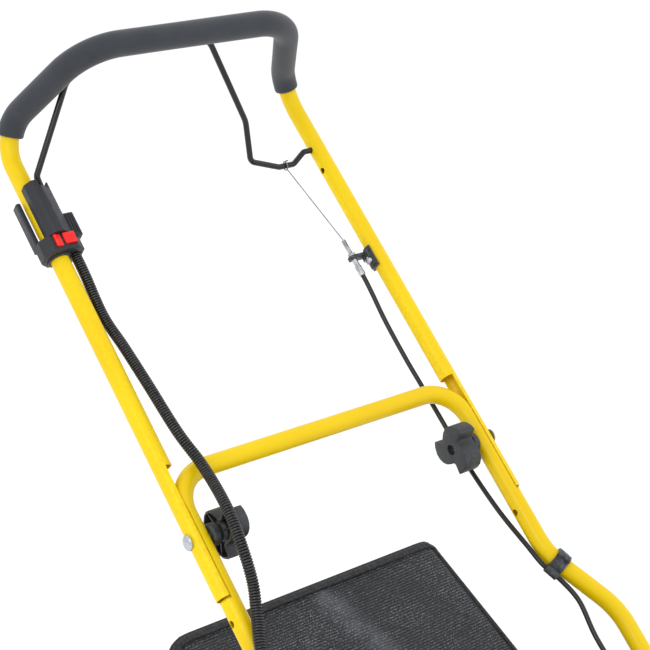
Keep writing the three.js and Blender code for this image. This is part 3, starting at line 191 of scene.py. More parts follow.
def path_between(path, start, end):
    """The part of a path between its stations nearest to two points."""
    near = [min(range(len(path)), key=lambda i: (path[i] - p).length) for p in (start, end)]
    return path[near[0]:near[1] + 1]


def frames(path, up=None):
    """Station, two cross directions and distance along, turned as little as possible."""
    tangents = []
    for i in range(len(path)):
        a, b = path[max(i - 1, 0)], path[min(i + 1, len(path) - 1)]
        tangents.append((b - a).normalized())
    side = (up or tangents[0].orthogonal()).copy()
    out, run = [], 0.0
    for i, (point, tangent) in enumerate(zip(path, tangents)):
        side = (side - tangent * side.dot(tangent)).normalized()
        run += (point - path[i - 1]).length if i else 0
        out.append((point, side, tangent.cross(side), run))
    return out


def grid(rings, closed=True, caps=True):
    """Faces between rings of equally many points."""
    sides = len(rings[0])
    points = [p for ring in rings for p in ring]
    faces = []
    for r in range(len(rings) - 1):
        for i in range(sides if closed else sides - 1):
            a, b = r * sides + i, r * sides + (i + 1) % sides
            faces.append((a, b, b + sides, a + sides))
    if caps:
        faces.append(tuple(reversed(range(sides))))
        faces.append(tuple(range(len(points) - sides, len(points))))
    return points, faces


def ring_at(station, radius, sides):
    point, u, v, run = station
    out = []
    for i in range(sides):
        angle = 2 * math.pi * i / sides
        r = radius(run, angle) if callable(radius) else radius
        out.append(point + u * r * math.cos(angle) + v * r * math.sin(angle))
    return out


def rod(path, radius, sides=24, up=None):
    return grid([ring_at(f, radius, sides) for f in frames(path, up)])


def pipe(path, radius, bore, sides=40):
    """A tube with its bore, as one closed surface."""
    stations = frames(path)
    outer = [ring_at(f, radius, sides) for f in stations]
    inner = [ring_at(f, bore, sides) for f in stations]
    rings = outer + inner[::-1] + [outer[0]]
    return grid(rings, caps=False)


def box_part(origin, axes, spans):
    """A box between spans along three axes."""
    (a0, a1), (b0, b1), (c0, c1) = spans
    corners = [(a, b, c) for c in (c0, c1) for b in (b0, b1) for a in (a0, a1)]
    points = [origin + axes[0] * a + axes[1] * b + axes[2] * c for a, b, c in corners]
    return points, [(0, 2, 3, 1), (4, 5, 7, 6), (0, 1, 5, 4), (2, 6, 7, 3), (0, 4, 6, 2), (1, 3, 7, 5)]


HANDLE = (X_AXIS, N_AXIS, S_AXIS)


def leg_box(x0, x1, n0, n1, s0, s1):
    return box_part(leg(0, 0, 0), HANDLE, ((x0, x1), (n0, n1), (s0, s1)))


def prism(outline, origin, u, v, w, w0, w1):
    """An outline of (u, v) pairs, pushed along w."""
    rings = [[origin + u * a + v * b + w * at for a, b in outline] for at in (w0, w1)]
    return grid(rings)


def turned(profile, origin, axis, sides=40):
    """(radius, distance along the axis) pairs, turned round it. A radius of 0 closes an end."""
    u = axis.orthogonal().normalized()
    v = axis.cross(u)
    rings = []
    for radius, along in profile:
        centre = origin + axis * along
        r = max(radius, 0.01)
        angles = [2 * math.pi * i / sides for i in range(sides)]
        rings.append([centre + u * r * math.cos(a) + v * r * math.sin(a) for a in angles])
    closed = profile[0] == profile[-1]
    return grid(rings, caps=not closed)


def rounded_outline(u0, u1, v0, v1, radius):
    out, steps = [], 6
    for cu, cv, turn in [
        (u1 - radius, v0 + radius, -90), (u1 - radius, v1 - radius, 0),
        (u0 + radius, v1 - radius, 90), (u0 + radius, v0 + radius, 180),
    ]:
        for i in range(steps + 1):
            angle = math.radians(turn + 90 * i / steps)
            out.append((cu + radius * math.cos(angle), cv + radius * math.sin(angle)))
    return out


def leg_prism(outline, s0, s1):
    return prism(outline, leg(0, 0, 0), *HANDLE, s0, s1)


def leg_bar(x0, x1, n0, n1, s0, s1, radius):
    return leg_prism(rounded_outline(x0, x1, n0, n1, radius), s0, s1)


def leg_pin(radius, x0, x1, n, s):
    return turned([(radius, x0), (radius, x1)], leg(0, n, s), X_AXIS, 32)


def flipped(parts):
    """The same parts on the other side of the machine."""
    return [([Vector((-p.x, p.y, p.z)) for p in points], faces) for points, faces in parts]


def on_side(side, parts):
    return parts if side == "right" else flipped(parts)


def tool(*parts):
    return build("tool", parts)


# ---- Materials ----
def linear(red, green, blue):
    """A colour as seen, 0 to 255, to the shader's own scale."""
    def channel(value):
        c = value / 255
        return c / 12.92 if c <= 0.04045 else ((c + 0.055) / 1.055) ** 2.4
    return channel(red), channel(green), channel(blue), 1.0


class Finish:
    """A node material in object space, built up from noise, colour and bump."""

    def __init__(self, name, **sockets):
        self.material = bpy.data.materials.new(name)
        self.material.use_nodes = True
        self.tree = self.material.node_tree
        self.shader = self.tree.nodes["Principled BSDF"]
        for key, value in sockets.items():
            self.shader.inputs[key.replace("_", " ")].default_value = value
        self.place = self.add("ShaderNodeTexCoord").outputs["Object"]
        self.normal = None

    def add(self, kind, **values):
        node = self.tree.nodes.new(kind)
        for key, value in values.items():
            setattr(node, key, value)
        return node

    def link(self, source, target):
        self.tree.links.new(source, target)

    def scaled(self, x, y, z):
        """The place stretched along the axes, for grain with a direction."""
        node = self.add("ShaderNodeMapping")
        self.link(self.place, node.inputs["Vector"])
        node.inputs["Scale"].default_value = (x, y, z)
        return node.outputs["Vector"]

    def noise(self, scale, detail=2.0, rough=0.5, at=None):
        node = self.add("ShaderNodeTexNoise")
        self.link(at or self.place, node.inputs["Vector"])
        node.inputs["Scale"].default_value = scale
        node.inputs["Detail"].default_value = detail
        node.inputs["Roughness"].default_value = rough
        return node.outputs["Fac"]

    def cells(self, scale):
        node = self.add("ShaderNodeTexVoronoi")
        self.link(self.place, node.inputs["Vector"])
        node.inputs["Scale"].default_value = scale
        return node.outputs["Distance"]

    def remap(self, value, from_low, from_high, to_low=0.0, to_high=1.0):
        node = self.add("ShaderNodeMapRange")
        self.link(value, node.inputs["Value"])
        keys = ("From Min", "From Max", "To Min", "To Max")
        for key, number in zip(keys, (from_low, from_high, to_low, to_high)):
            node.inputs[key].default_value = number
        return node.outputs["Result"]

    def math(self, operation, a, b=0.5):
        node = self.add("ShaderNodeMath", operation=operation)
        for socket, value in zip(node.inputs, (a, b)):
            if isinstance(value, (int, float)):
                socket.default_value = value
            else:
                self.link(value, socket)
        return node.outputs[0]

    def mix(self, factor, a, b):
        node = self.add("ShaderNodeMix", data_type="RGBA")
        self.link(factor, node.inputs["Factor"])
        for socket, value in ((node.inputs["A"], a), (node.inputs["B"], b)):
            if isinstance(value, tuple):
                socket.default_value = value
            else:
                self.link(value, socket)
        return node.outputs["Result"]

    def colour(self, value):
        self.link(value, self.shader.inputs["Base Color"])
        return self

    def rough(self, value):
        self.link(value, self.shader.inputs["Roughness"])
        return self

    def bump(self, height, depth, strength=1.0):
        """depth is the real height of the relief in mm."""
        node = self.add("ShaderNodeBump")
        node.inputs["Distance"].default_value = depth * MM
        node.inputs["Strength"].default_value = strength
        self.link(height, node.inputs["Height"])
        if self.normal:
            self.link(self.normal, node.inputs["Normal"])
        self.normal = node.outputs["Normal"]
        self.link(self.normal, self.shader.inputs["Normal"])
        return self

    def worn_and_highlit_edges(self, base, worn_and_lit_colour):
        """Lighter in patches where the surface turns sharply outwards: partly wear, partly a painted
        highlight on the edges.
        """
        node = self.add("ShaderNodeNewGeometry")
        sharp = self.remap(node.outputs["Pointiness"], 0.53, 0.62)
        patchy = self.math("MULTIPLY", sharp, self.remap(self.noise(220, 3), 0.35, 0.65))
        return self.mix(patchy, base, worn_and_lit_colour)


def paint(name, seen, deep, coat):
    """Powder coat: faint orange peel, slight unevenness of tone."""
    f = Finish(name, Roughness=0.34, Coat_Weight=coat, Coat_Roughness=0.12, Specular_IOR_Level=0.22)
    tone = f.mix(f.remap(f.noise(9, 3), 0.3, 0.7), linear(*deep), linear(*seen))
    # Sharp edges a little lighter: partly worn paint, partly a painted highlight.
    f.colour(f.worn_and_highlit_edges(tone, linear(*[min(255, c + 12) for c in seen])))
    f.rough(f.remap(f.noise(60, 4), 0.2, 0.8, 0.28, 0.42))
    return f.bump(f.noise(900, 2), 0.05, 0.5).material


def plastic(name, seen, edge, rough=0.5, depth=0.03):
    """Moulded plastic: fine spark grain, roughness varying in patches, sharp edges lighter, partly wear and
    partly a painted highlight.
    """
    f = Finish(name, Roughness=rough)
    tone = f.mix(f.remap(f.noise(30, 4), 0.3, 0.7), linear(*[c * 0.96 for c in seen]), linear(*seen))
    # edge is the colour of sharp edges: partly wear, partly a painted highlight.
    f.colour(f.worn_and_highlit_edges(tone, linear(*edge)))
    f.rough(f.remap(f.noise(120, 3), 0.25, 0.75, rough - 0.08, rough + 0.08))
    return f.bump(f.noise(1600, 2), depth, 0.4).material


def metal(name, seen, rough=0.3, streak=(1, 1, 1), depth=0.02):
    """Plated or turned steel with fine drawn lines and dull patches."""
    f = Finish(name, Metallic=1.0, Roughness=rough)
    lines = f.noise(700, 3, at=f.scaled(*streak))
    f.colour(f.mix(f.remap(f.noise(90, 4), 0.3, 0.75), linear(*[c * 0.78 for c in seen]), linear(*seen)))
    f.rough(f.remap(lines, 0.3, 0.7, rough - 0.09, rough + 0.12))
    return f.bump(lines, depth, 0.5).material


def rubbery(name, seen, dust, rough=0.85):
    f = Finish(name, Roughness=rough)
    f.colour(f.mix(f.remap(f.noise(35, 5, 0.6), 0.45, 0.8), linear(*seen), linear(*dust)))
    f.rough(f.remap(f.noise(200, 3), 0.2, 0.8, rough - 0.12, rough + 0.08))
    return f.bump(f.noise(1100, 3), 0.08, 0.6).material


def foam(name):
    """Closed-cell foam: tiny pores darkened with painted shade, a faint bloom and flattened patches."""
    f = Finish(name, Roughness=0.92, Sheen_Weight=0.25, Sheen_Roughness=0.5)
    pores = f.remap(f.cells(1900), 0.0, 0.45)
    tone = f.mix(f.remap(f.noise(45, 4), 0.3, 0.7), linear(50, 54, 61), linear(56, 60, 67))
    # The pores' darker colour is painted shade in the pits.
    f.colour(f.mix(pores, linear(42, 45, 51), tone))
    return f.bump(pores, 0.12, 0.5).bump(f.noise(60, 3), 0.25, 0.3).material


YELLOW = paint("yellow_powder_coat", (243, 210, 0), (236, 198, 0), coat=0.1)
BLACK_STEEL = paint("black_satin_paint", (22, 23, 26), (14, 15, 17), coat=0.5)
BLACK_PLASTIC = plastic("slate_plastic", (44, 47, 51), (84, 89, 95))
SLATE = plastic("dark_slate_plastic", (32, 35, 42), (66, 70, 78), rough=0.46)
GREY_PLASTIC = plastic("grey_plastic", (84, 88, 93), (118, 122, 127))
# The conduit's pale edge colour paints highlights on its rib tops.
CONDUIT = plastic("conduit_plastic", (14, 14, 17), (120, 122, 128), rough=0.24, depth=0.02)
CABLE = plastic("cable_sheath", (12, 12, 14), (50, 52, 56), rough=0.28, depth=0.02)
RED = plastic("red_plastic", (250, 24, 12), (255, 80, 60), rough=0.36, depth=0.02)
FOAM = foam("grip_foam")
ZINC = metal("zinc_plate", (214, 219, 224), 0.28)
STEEL = metal("turned_steel", (160, 165, 170), 0.34, (8, 1, 1))
CAST = metal("cast_aluminium", (150, 155, 160), 0.55, depth=0.15)
TYRE = rubbery("tyre_rubber", (38, 39, 41), (74, 73, 70))
RUBBER = rubbery("plain_rubber", (34, 35, 37), (60, 60, 58), 0.7)


def give(obj, material):
    obj.data.materials.clear()
    obj.data.materials.append(material)
    return obj


def place(obj, material, body, slot, *nodes):
    """Dresses a piece, ties it to its body and hides the CAD nodes it stands for."""
    give(obj, material)
    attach(obj, body)
    if nodes:
        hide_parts(*nodes)
    return obj


def bendable(obj, material, slot, node, bodies, start, end):
    """Dresses a flexible run, bakes its placement into the mesh and hides the CAD node it stands for."""
    give(obj, material)
    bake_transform(obj)
    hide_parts(node)


# ---- Handle ----
TUBE_R, TUBE_BORE = 11.0, 9.5
UPPER_X, LOWER_X = 203.0, 200.0
BOLT_S, PIVOT_S, SPARE_HOLE_S, SCREW_S = 542.0, 104.0, 137.0, 276.0
CROSSBAR_S, S_BEND_FROM, S_BEND_TO, FOOT_X, FOOT_S = 467.0, 699.0, 789.0, 252.0, 960.0
BEND_R = 85.0


def upper_corners():
    right = [leg(139, 152.6, 8), leg(UPPER_X, 0, 0), leg(UPPER_X, 0, 612)]
    return [Vector((-p.x, p.y, p.z)) for p in reversed(right)] + right


def both_sides(*parts):
    return [*parts, *flipped(parts)]


def upper_handle():
    corners = upper_corners()
    path = bent(corners, [46, 67, 67, 46], 4)
    tube = build("upper_handle_tube", [pipe(path, TUBE_R, TUBE_BORE)])
    combine(tube, both_sides(
        leg_box(0, UPPER_X + 0.3, -20, 20, 455, 617),
        leg_pin(4.3, UPPER_X, 223, 0, BOLT_S),
        leg_pin(4.2, 183, UPPER_X, 0, PIVOT_S),
        leg_pin(4.2, 183, UPPER_X, 0, SPARE_HOLE_S),
    ) + [leg_pin(2.3, 183, 223, 0, SCREW_S)])
    place(tube, YELLOW, "upper_handle", "yellow_paint", "upper_handle")

    arc = corner_arc(corners[0], corners[1], corners[2], 46, 4)
    start = arc[len(arc) // 2]
    cover = spaced(path_between(path, start, Vector((-start.x, start.y, start.z))), 3)
    length = sum((b - a).length for a, b in zip(cover, cover[1:]))

    def soft(run, angle):
        edge = min(run, length - run)
        rounding = 0 if edge > 3 else 3 - math.sqrt(max(9 - (3 - edge) ** 2, 0))
        return 15.4 - rounding + 0.18 * math.sin(run * 0.021) + 0.12 * math.sin(3 * angle + run * 0.013)

    first, last = cover[0], cover[-1]
    ends = [first.lerp(cover[1], t) for t in (0, 0.08, 0.3, 0.6)]
    tail = [cover[-2].lerp(last, t) for t in (0.4, 0.7, 0.92, 1)]
    grip = build("foam_grip", [pipe(ends + cover[1:-1] + tail, soft, 11.7, 48)])
    place(grip, FOAM, "upper_handle", "foam_rubber", "grip_foam")


def lower_path():
    right = [leg(FOOT_X, 0, FOOT_S + 25), leg(FOOT_X, 0, S_BEND_TO),
             leg(LOWER_X, 0, S_BEND_FROM), leg(LOWER_X, 0, CROSSBAR_S)]
    left = [Vector((-p.x, p.y, p.z)) for p in reversed(right)]
    return bent(right + left, [BEND_R, BEND_R, 45, 45, BEND_R, BEND_R], 4)


def lower_handle():
    path = lower_path()
    tube = build("lower_handle_tube", [pipe(path, TUBE_R, TUBE_BORE)])
    nest = leg_box(UPPER_X, 240, -20, 20, 440, 614)
    holes = [leg_pin(4.3, 100, 240, 0, s) for s in (BOLT_S, 640)]
    combine(tube, both_sides(nest, leg_pin(4.3, 200, 300, 0, FOOT_S), *holes))
    faces = []
    for face in (leg_box(201.5, UPPER_X, -20, 20, 450, 615.5), leg_box(UPPER_X, 240, -20, 20, 614, 615.5)):
        for shape in (face, *flipped([face])):
            faces.append(combine(build("flat", [rod(path, TUBE_R, 40)]), [shape], "INTERSECT"))
    for face in faces:
        combine(face, [leg_pin(4.3, -300, 300, 0, BOLT_S)])
    merge(tube, faces)
    place(tube, YELLOW, "lower_handle", "yellow_paint", "lower_handle")


def merge(obj, others):
    """Adds the meshes of others to obj."""
    bm = bmesh.new()
    for part in (obj, *others):
        bm.from_mesh(part.data)
    bm.to_mesh(obj.data)
    bm.free()
    for part in others:
        bpy.data.objects.remove(part)
    smoothed(obj.data)
    return obj


def threaded(radius, pitch, x0, x1):
    """A thread's rings as a turned profile."""
    out = []
    at = x0
    while at < x1:
        out += [(radius, at), (radius - 0.35, at + pitch / 2)]
        at += pitch
    return out + [(radius, x1)]


def dome(seat):
    return [(9, seat), (9, seat + 0.6), (8.7, seat + 1.3), (7.9, seat + 2.3), (6.4, seat + 3.3),
            (4.2, seat + 4.1), (2, seat + 4.5), (0, seat + 4.6)]


def handle_bolt(side):
    shank = [(0, 158), (3.3, 158), (4, 158.8), *threaded(4, 1.25, 160, 184), (4, 214.2)]
    parts = [turned(shank + dome(214.2), leg(0, 0, BOLT_S), X_AXIS)]
    return build(f"carriage_bolt_{side}", on_side(side, parts))


# A claw's outline: degrees round from its sharp lip, and the share of the full radius.
CLAW = [(0, 1), (14, 1), (30, 0.985), (44, 0.94), (58, 0.86), (72, 0.75), (86, 0.64), (98, 0.57), (110, 0.55),
        (116, 0.62)]
CLAW_R = 30.5
HEAD_X = (152.2, 176.2)
LIP = {"right": 107.4, "left": 85.6}


def claws(lip):
    """Three claws leaning one way, as (N, S) pairs."""
    out = []
    for third in (0, 120, 240):
        for turn, share in reversed(CLAW):
            angle = math.radians(lip + third - turn)
            out.append((CLAW_R * share * math.cos(angle), CLAW_R * share * math.sin(angle)))
    return out


def shrunk(outline, by):
    """The outline moved inwards, corner by corner."""
    out = []
    corners = [Vector(p) for p in outline]
    for before, corner, after in zip(corners[-1:] + corners, corners, corners[1:] + corners[:1]):
        first, second = (corner - before).normalized(), (after - corner).normalized()
        inward = Vector((-first.y - second.y, first.x + second.x)).normalized()
        reach = min(by / max(inward.dot(Vector((-first.y, first.x))), 0.45), by * 1.6)
        out.append(tuple(corner + inward * reach))
    return out


def wing_knob(side):
    """A clawed grip, hollow towards the leg, on a stepped hub."""
    centre = leg(0, 0, BOLT_S)
    there, back = Matrix.Translation(centre * MM), Matrix.Translation(-centre * MM)
    half_turn = there @ Matrix.Rotation(math.pi, 4, S_AXIS) @ back
    lip = LIP[side]
    outline = claws(lip)
    body = bevelled(tool(prism(outline, centre, N_AXIS, S_AXIS, X_AXIS, *HEAD_X)), 1.2, 3, 24)
    combine(body, [prism(shrunk(outline, 2.6), centre, N_AXIS, S_AXIS, X_AXIS, 156, 180)])
    hub = [(0, 155), (12.5, 155), (12.5, 172), (9.5, 175.2), (9.5, 179.2), (13, 180.7), (13, 186.7),
           (11, 188.7), (0, 188.7)]
    parts = [turned(hub, centre, X_AXIS, 64)]
    rib = ((155.5, 174.5), (9, 27.5), (-0.9, 0.9))
    for third in (0, 120, 240):
        angle = math.radians(lip - 40 + third)
        u = N_AXIS * math.cos(angle) + S_AXIS * math.sin(angle)
        parts.append(box_part(centre, (X_AXIS, u, X_AXIS.cross(u)), rib))
    combine(body, parts, "UNION")
    bore = [(0, 150), (6.4, 150), (6.4, 157), (4.3, 157.2), (4.3, 190), (0, 190)]
    combine(body, [turned(bore, centre, X_AXIS, 40)])
    if side == "left":
        body.data.transform(half_turn)
    body.name = f"clawed_knob_{side}"
    return body


def handle_joint():
    for side in ("right", "left"):
        place(handle_bolt(side), ZINC, "lower_handle", "zinc_steel", f"handle_bolt_{side}")
        place(wing_knob(side), BLACK_PLASTIC, f"wing_knob_{side}", "black_plastic", f"wing_knob_{side}")


# ---- Control bail and Bowden cable ----
def on_bail(x, reach):
    angle = math.radians(42)
    return leg(x, reach * math.sin(angle), PIVOT_S - reach * math.cos(angle))


ADJUSTER = (172.5, -8.0)
HOOK = on_bail(151, -13)
WIRE_TOP = HOOK + S_AXIS * 6.7
WIRE_END = leg(*ADJUSTER, 235.7)


def bail():
    outline = [(201, 0), (181, 0), (164, -13), (141, -13), (99, 1), (97, 52), (54, 160), (-112, 160),
               (-143.3, 132), (-194, 33), (-188.5, 14), (-187.8, 0), (-201, 0)]
    path = bent([on_bail(*p) for p in outline], [8, 8, 8, 9, 30, 18, 18, 18, 8, 5, 5], 8)
    lever = build("bail_rod", [rod(path, 3.75, 24)])
    place(lever, BLACK_STEEL, "bail", "black_steel", "bail_lever")


def wire_and_hook():
    ring = []
    for i in range(41):
        angle = math.radians(-60 + 9 * i)
        aside = X_AXIS * (i - 20) * 0.055
        ring.append(HOOK + aside + N_AXIS * 5.6 * math.cos(angle) + S_AXIS * 5.6 * math.sin(angle))
    tip = ring[-1] + (ring[-1] - ring[-3]).normalized() * 4 + X_AXIS * 1.5
    hook = build("wire_hook_ring", [rod(ring + [tip], 0.8, 12)])
    place(hook, STEEL, "bail", "steel", "wire_hook")

    def strands(run, angle):
        return 0.72 + 0.08 * math.cos(6 * angle - run * 0.9)

    line = spaced([WIRE_TOP, WIRE_END], 1.2)
    wire = build("inner_wire", [rod(line, strands, 18, X_AXIS)])
    bendable(wire, STEEL, "steel", "cable_inner_wire", ("bail", "upper_handle"), WIRE_TOP, WIRE_END)


def adjuster():
    centre = leg(*ADJUSTER, 0)
    thread = [(0, 236), (1.2, 236), (2.4, 236.2), *threaded(3, 1.0, 237, 265.4)]
    ferrule = [(3, 265.8), (3.6, 266.4), (3.6, 276), (4.3, 277), (4.3, 281), (3.8, 281.6), (3.8, 283),
               (4.3, 283.6), (4.3, 289), (3.5, 290), (0, 290)]
    body = build("threaded_adjuster", [turned(thread + ferrule, centre, S_AXIS, 32)])
    slit = box_part(centre, HANDLE, ((-0.5, 0.5), (-4, 4), (235, 247)))
    combine(body, [slit])
    place(body, ZINC, "upper_handle", "zinc_steel", "cable_adjuster")
    nut = tool(turned([(5.55, 257.9), (5.55, 261.1)], centre, S_AXIS, 6))
    bevelled(nut, 0.35, 2)
    combine(nut, [turned([(3.15, 250), (3.15, 270)], centre, S_AXIS, 32)])
    nut.name = "adjuster_lock_nut"
    place(nut, ZINC, "upper_handle", "zinc_steel", "adjuster_nut")


def sector(inner, outer, start, end, s0, s1):
    """Part of a ring round the right leg, between two angles."""
    steps = 24
    angles = [math.radians(start + (end - start) * i / steps) for i in range(steps + 1)]
    outline = [(outer * math.cos(a), outer * math.sin(a)) for a in angles]
    outline += [(inner * math.cos(a), inner * math.sin(a)) for a in reversed(angles)]
    return prism(outline, leg(UPPER_X, 0, 0), *HANDLE, s0, s1)


def cable_bracket():
    """A saddle screwed to the leg, with a slotted ear that holds the adjuster."""
    seat = leg(191, 0, SCREW_S)
    saddle = tool(sector(11.6, 14.4, 146, 236, 258, 287))
    shoulder = sector(12.5, 15.6, 150, 230, 268, 284)
    ear = leg_bar(165.9, 192.5, -14.4, -1.6, 261.6, 265.4, 5.5)
    rib = leg_bar(185.5, 191.5, -11, 6, 261.7, 272, 2.5)
    lug = turned([(5.8, -3.4), (5.8, 2)], seat, X_AXIS, 40)
    combine(saddle, [shoulder, ear, rib, lug], "UNION")
    bevelled(saddle, 0.5, 2)
    holes = [turned([(3.3, 250), (3.3, 275)], leg(*ADJUSTER, 0), S_AXIS, 32),
             box_part(leg(*ADJUSTER, 263.5), HANDLE, ((-1.1, 1.1), (-8, 0), (-4, 4))),
             turned([(11.55, 240), (11.55, 295)], leg(UPPER_X, 0, 0), S_AXIS, 64)]
    combine(saddle, holes)
    saddle.name = "slotted_cable_bracket"
    place(saddle, BLACK_PLASTIC, "upper_handle", "black_plastic", "cable_bracket")
    screw = [(0, -9.2), (2.4, -9), (4, -8.2), (5.2, -7), (5.2, -3.8), (2, -3.8), (2, 24.8), (1.5, 25.3),
             (0, 25.3)]
    body = build("bracket_through_screw", [turned(screw, seat, X_AXIS, 40)])
    cross = [box_part(seat, HANDLE, spans) for spans in (
        ((-10, -7.6), (-0.55, 0.55), (-2.8, 2.8)), ((-10, -7.6), (-2.8, 2.8), (-0.55, 0.55)))]
    combine(body, cross)
    place(body, ZINC, "upper_handle", "zinc_steel", "bracket_screw")


# ---- Switch box ----
def chamfered(x0, x1, n0, n1, cut):
    return [(x0 + cut, n0), (x1 - cut, n0), (x1, n0 + cut), (x1, n1 - cut), (x1 - cut, n1), (x0 + cut, n1),
            (x0, n1 - cut), (x0, n0 + cut)]


def switch_box():
    block = bevelled(tool(leg_bar(-186, -167.5, -12, 14, 129, 160, 3)), 0.8, 2)
    grooves = [leg_box(x, x + 1.3, 13.1, 15, 131.5, 157.5) for x in (-183.4, -179.9, -176.4, -172.9)]
    grooves += [leg_box(-168.4, -165, n, n + 1.3, 131.5, 157.5) for n in (-9, -5, -1, 3, 7)]
    combine(block, grooves)
    facets = [(-213, -10), (-182, -10), (-182, 16.5), (-197, 28.5), (-206, 27), (-213, 19.5)]
    sleeve = bevelled(tool(leg_prism(facets, 86, 158)), 0.9, 3, 20)
    clamp = bevelled(tool(leg_prism(chamfered(-224, -173.5, -14.5, 21, 10), 157, 179)), 1.2, 3, 30)
    slab = bevelled(tool(leg_bar(-224, -218, -10, 4, 99, 162, 2)), 0.8, 2)
    collar = turned([(14.6, 177.5), (14.6, 180), (13.6, 181)], leg(-UPPER_X, 0, 0), S_AXIS, 48)
    combine(sleeve, [clamp, block, slab, collar], "UNION")
    tube = turned([(11.6, 60), (11.6, 200)], leg(-UPPER_X, 0, 0), S_AXIS, 48)
    wells = [leg_box(-209.5, -201, 11, 40, 158.5, 174.5),
             leg_box(-198, -182.5, 11, 40, 158.5, 173.5)]
    room = [(-202.5, -8), (-183.8, -8), (-183.8, 15.9), (-197, 26.5), (-202.5, 26.5)]
    hollow = [leg_box(-217.5, -202, -30, 9, 60, 157), leg_prism(room, 81, 114),
              leg_box(-198.6, -183.8, 0, 30.5, 79, 95)]
    hole = turned([(7.4, 174), (7.4, 200)], leg(-183, 2, 0), S_AXIS, 32)
    combine(sleeve, [tube, *wells, *hollow, hole])
    rear = sleeve.copy()
    rear.data = sleeve.data.copy()
    bpy.context.scene.collection.objects.link(rear)
    combine(sleeve, [leg_box(-260, -140, -60, 0.15, 50, 200)])
    combine(rear, [leg_box(-260, -140, -0.15, 60, 50, 200)])
    sleeve.name, rear.name = "switch_front_shell", "switch_back_shell"
    place(sleeve, SLATE, "upper_handle", "black_plastic", "switch_housing")
    place(rear, SLATE, "upper_handle", "black_plastic", "switch_rear_shell")
    buttons()


def buttons():
    """A ridged lock button and a start button with a hollowed thumb face."""
    lock = tool(leg_bar(-209, -201.5, 15, 24, 159, 174, 1.2))
    combine(lock, [box_part(leg(-209, 24, 159), (X_AXIS, N_AXIS * 0.94 + S_AXIS * 0.34, S_AXIS),
                            ((3.2, 9), (-1.2, 3), (-3, 18)))])
    bevelled(lock, 0.6, 2)
    lock.name = "lock_button_cap"
    place(lock, RED, "lock_button", "red_plastic", "lock_button")
    start = tool(leg_bar(-197.5, -183, 15, 24, 159, 173, 1.6))
    dish = turned([(22, -30), (22, 30)], leg(-190.2, 44.2, 166), X_AXIS, 96)
    combine(start, [dish])
    bevelled(start, 0.6, 2)
    start.name = "start_button_cap"
    place(start, RED, "start_button", "red_plastic", "start_button")


# ---- Clips, cable and conduit ----
def on_s_bend(side, s):
    """Where the lower leg's middle is at a distance down the handle, and how far it has turned outwards."""
    slope = math.atan2(FOOT_X - LOWER_X, S_BEND_TO - S_BEND_FROM)
    start = S_BEND_FROM - BEND_R * math.tan(slope / 2)
    arc = math.asin(min((s - start) / BEND_R, 1))
    if arc < slope:
        return side * (LOWER_X + BEND_R * (1 - math.cos(arc))), side * arc
    return side * (LOWER_X + (s - S_BEND_FROM) * math.tan(slope)), side * slope


def clip_axes(side, s):
    x, turn = on_s_bend(side, s)
    u = X_AXIS * math.cos(turn) - S_AXIS * math.sin(turn)
    w = S_AXIS * math.cos(turn) + X_AXIS * math.sin(turn)
    return leg(x, 0, s), u, w


def clip_eye(clip, across, off, shift):
    origin, u, w = clip
    return origin + u * across + N_AXIS * off + w * shift


CABLE_CLIP, CONDUIT_CLIP = clip_axes(1, 713), clip_axes(-1, 746)


def clip(name, node, where, across, off, eye_r):
    """A snap clip: a ribbed ring round the tube, with an eye and a hinge knuckle."""
    origin, u, w = where
    ring = [(15, -8.5), (15, -6), (14.1, -5.2), (14.1, -2), (15, -1.2), (15, 1.2), (14.1, 2), (14.1, 5.2),
            (15, 6), (15, 8.5)]
    body = tool(turned(ring, origin, w, 64))
    eye = origin + u * across + N_AXIS * off
    length = math.hypot(across, off)
    out = (u * across + N_AXIS * off) / length
    side = w.cross(out)
    parts = [turned([(eye_r + 2.2, -8.5), (eye_r + 2.2, 8.5)], eye, w, 40),
             box_part(origin, (out, side, w), ((11.8, length), (-eye_r, eye_r), (-7, 7))),
             box_part(origin, (out, side, w), ((-17, -12.4), (-3.2, 3.2), (-6.5, 6.5))),
             box_part(origin, (out, side, w), ((-3, 4), (-16.6, -12.4), (-8.4, 8.4)))]
    combine(body, parts, "UNION")
    bevelled(body, 0.4, 2)
    combine(body, [turned([(12.1, -12), (12.1, 12)], origin, w, 64),
                   turned([(eye_r + 0.7, -12), (eye_r + 0.7, 12)], eye, w, 32),
                   box_part(origin, (out, side, w), ((-20, -11), (-0.35, 0.35), (-12, 12)))])
    body.name = name
    place(body, BLACK_PLASTIC, "lower_handle", "black_plastic", node)


def cable_points():
    eye = [clip_eye(CABLE_CLIP, -16.8, 0, shift) for shift in (-14, -0.3, 0.3, 14)]
    upper = [leg(172.5, -8, 290.3), leg(172.5, -8.3, 300), leg(173.3, -11, 318), leg(173.5, -15, 352),
             leg(177, -21, 410), leg(181, -25, 447), leg(186.5, -31, 495), leg(187.5, -31, 560),
             leg(186, -20, 628), leg(185, -5, 680), eye[0], eye[1]]
    lower = [eye[2], eye[3], leg(205, 3, 762), leg(201, 2, 812), low(204, -690, 322), low(213, -762, 300),
             low(221, -812, 292), low(222, -838, 283)]
    return upper, lower


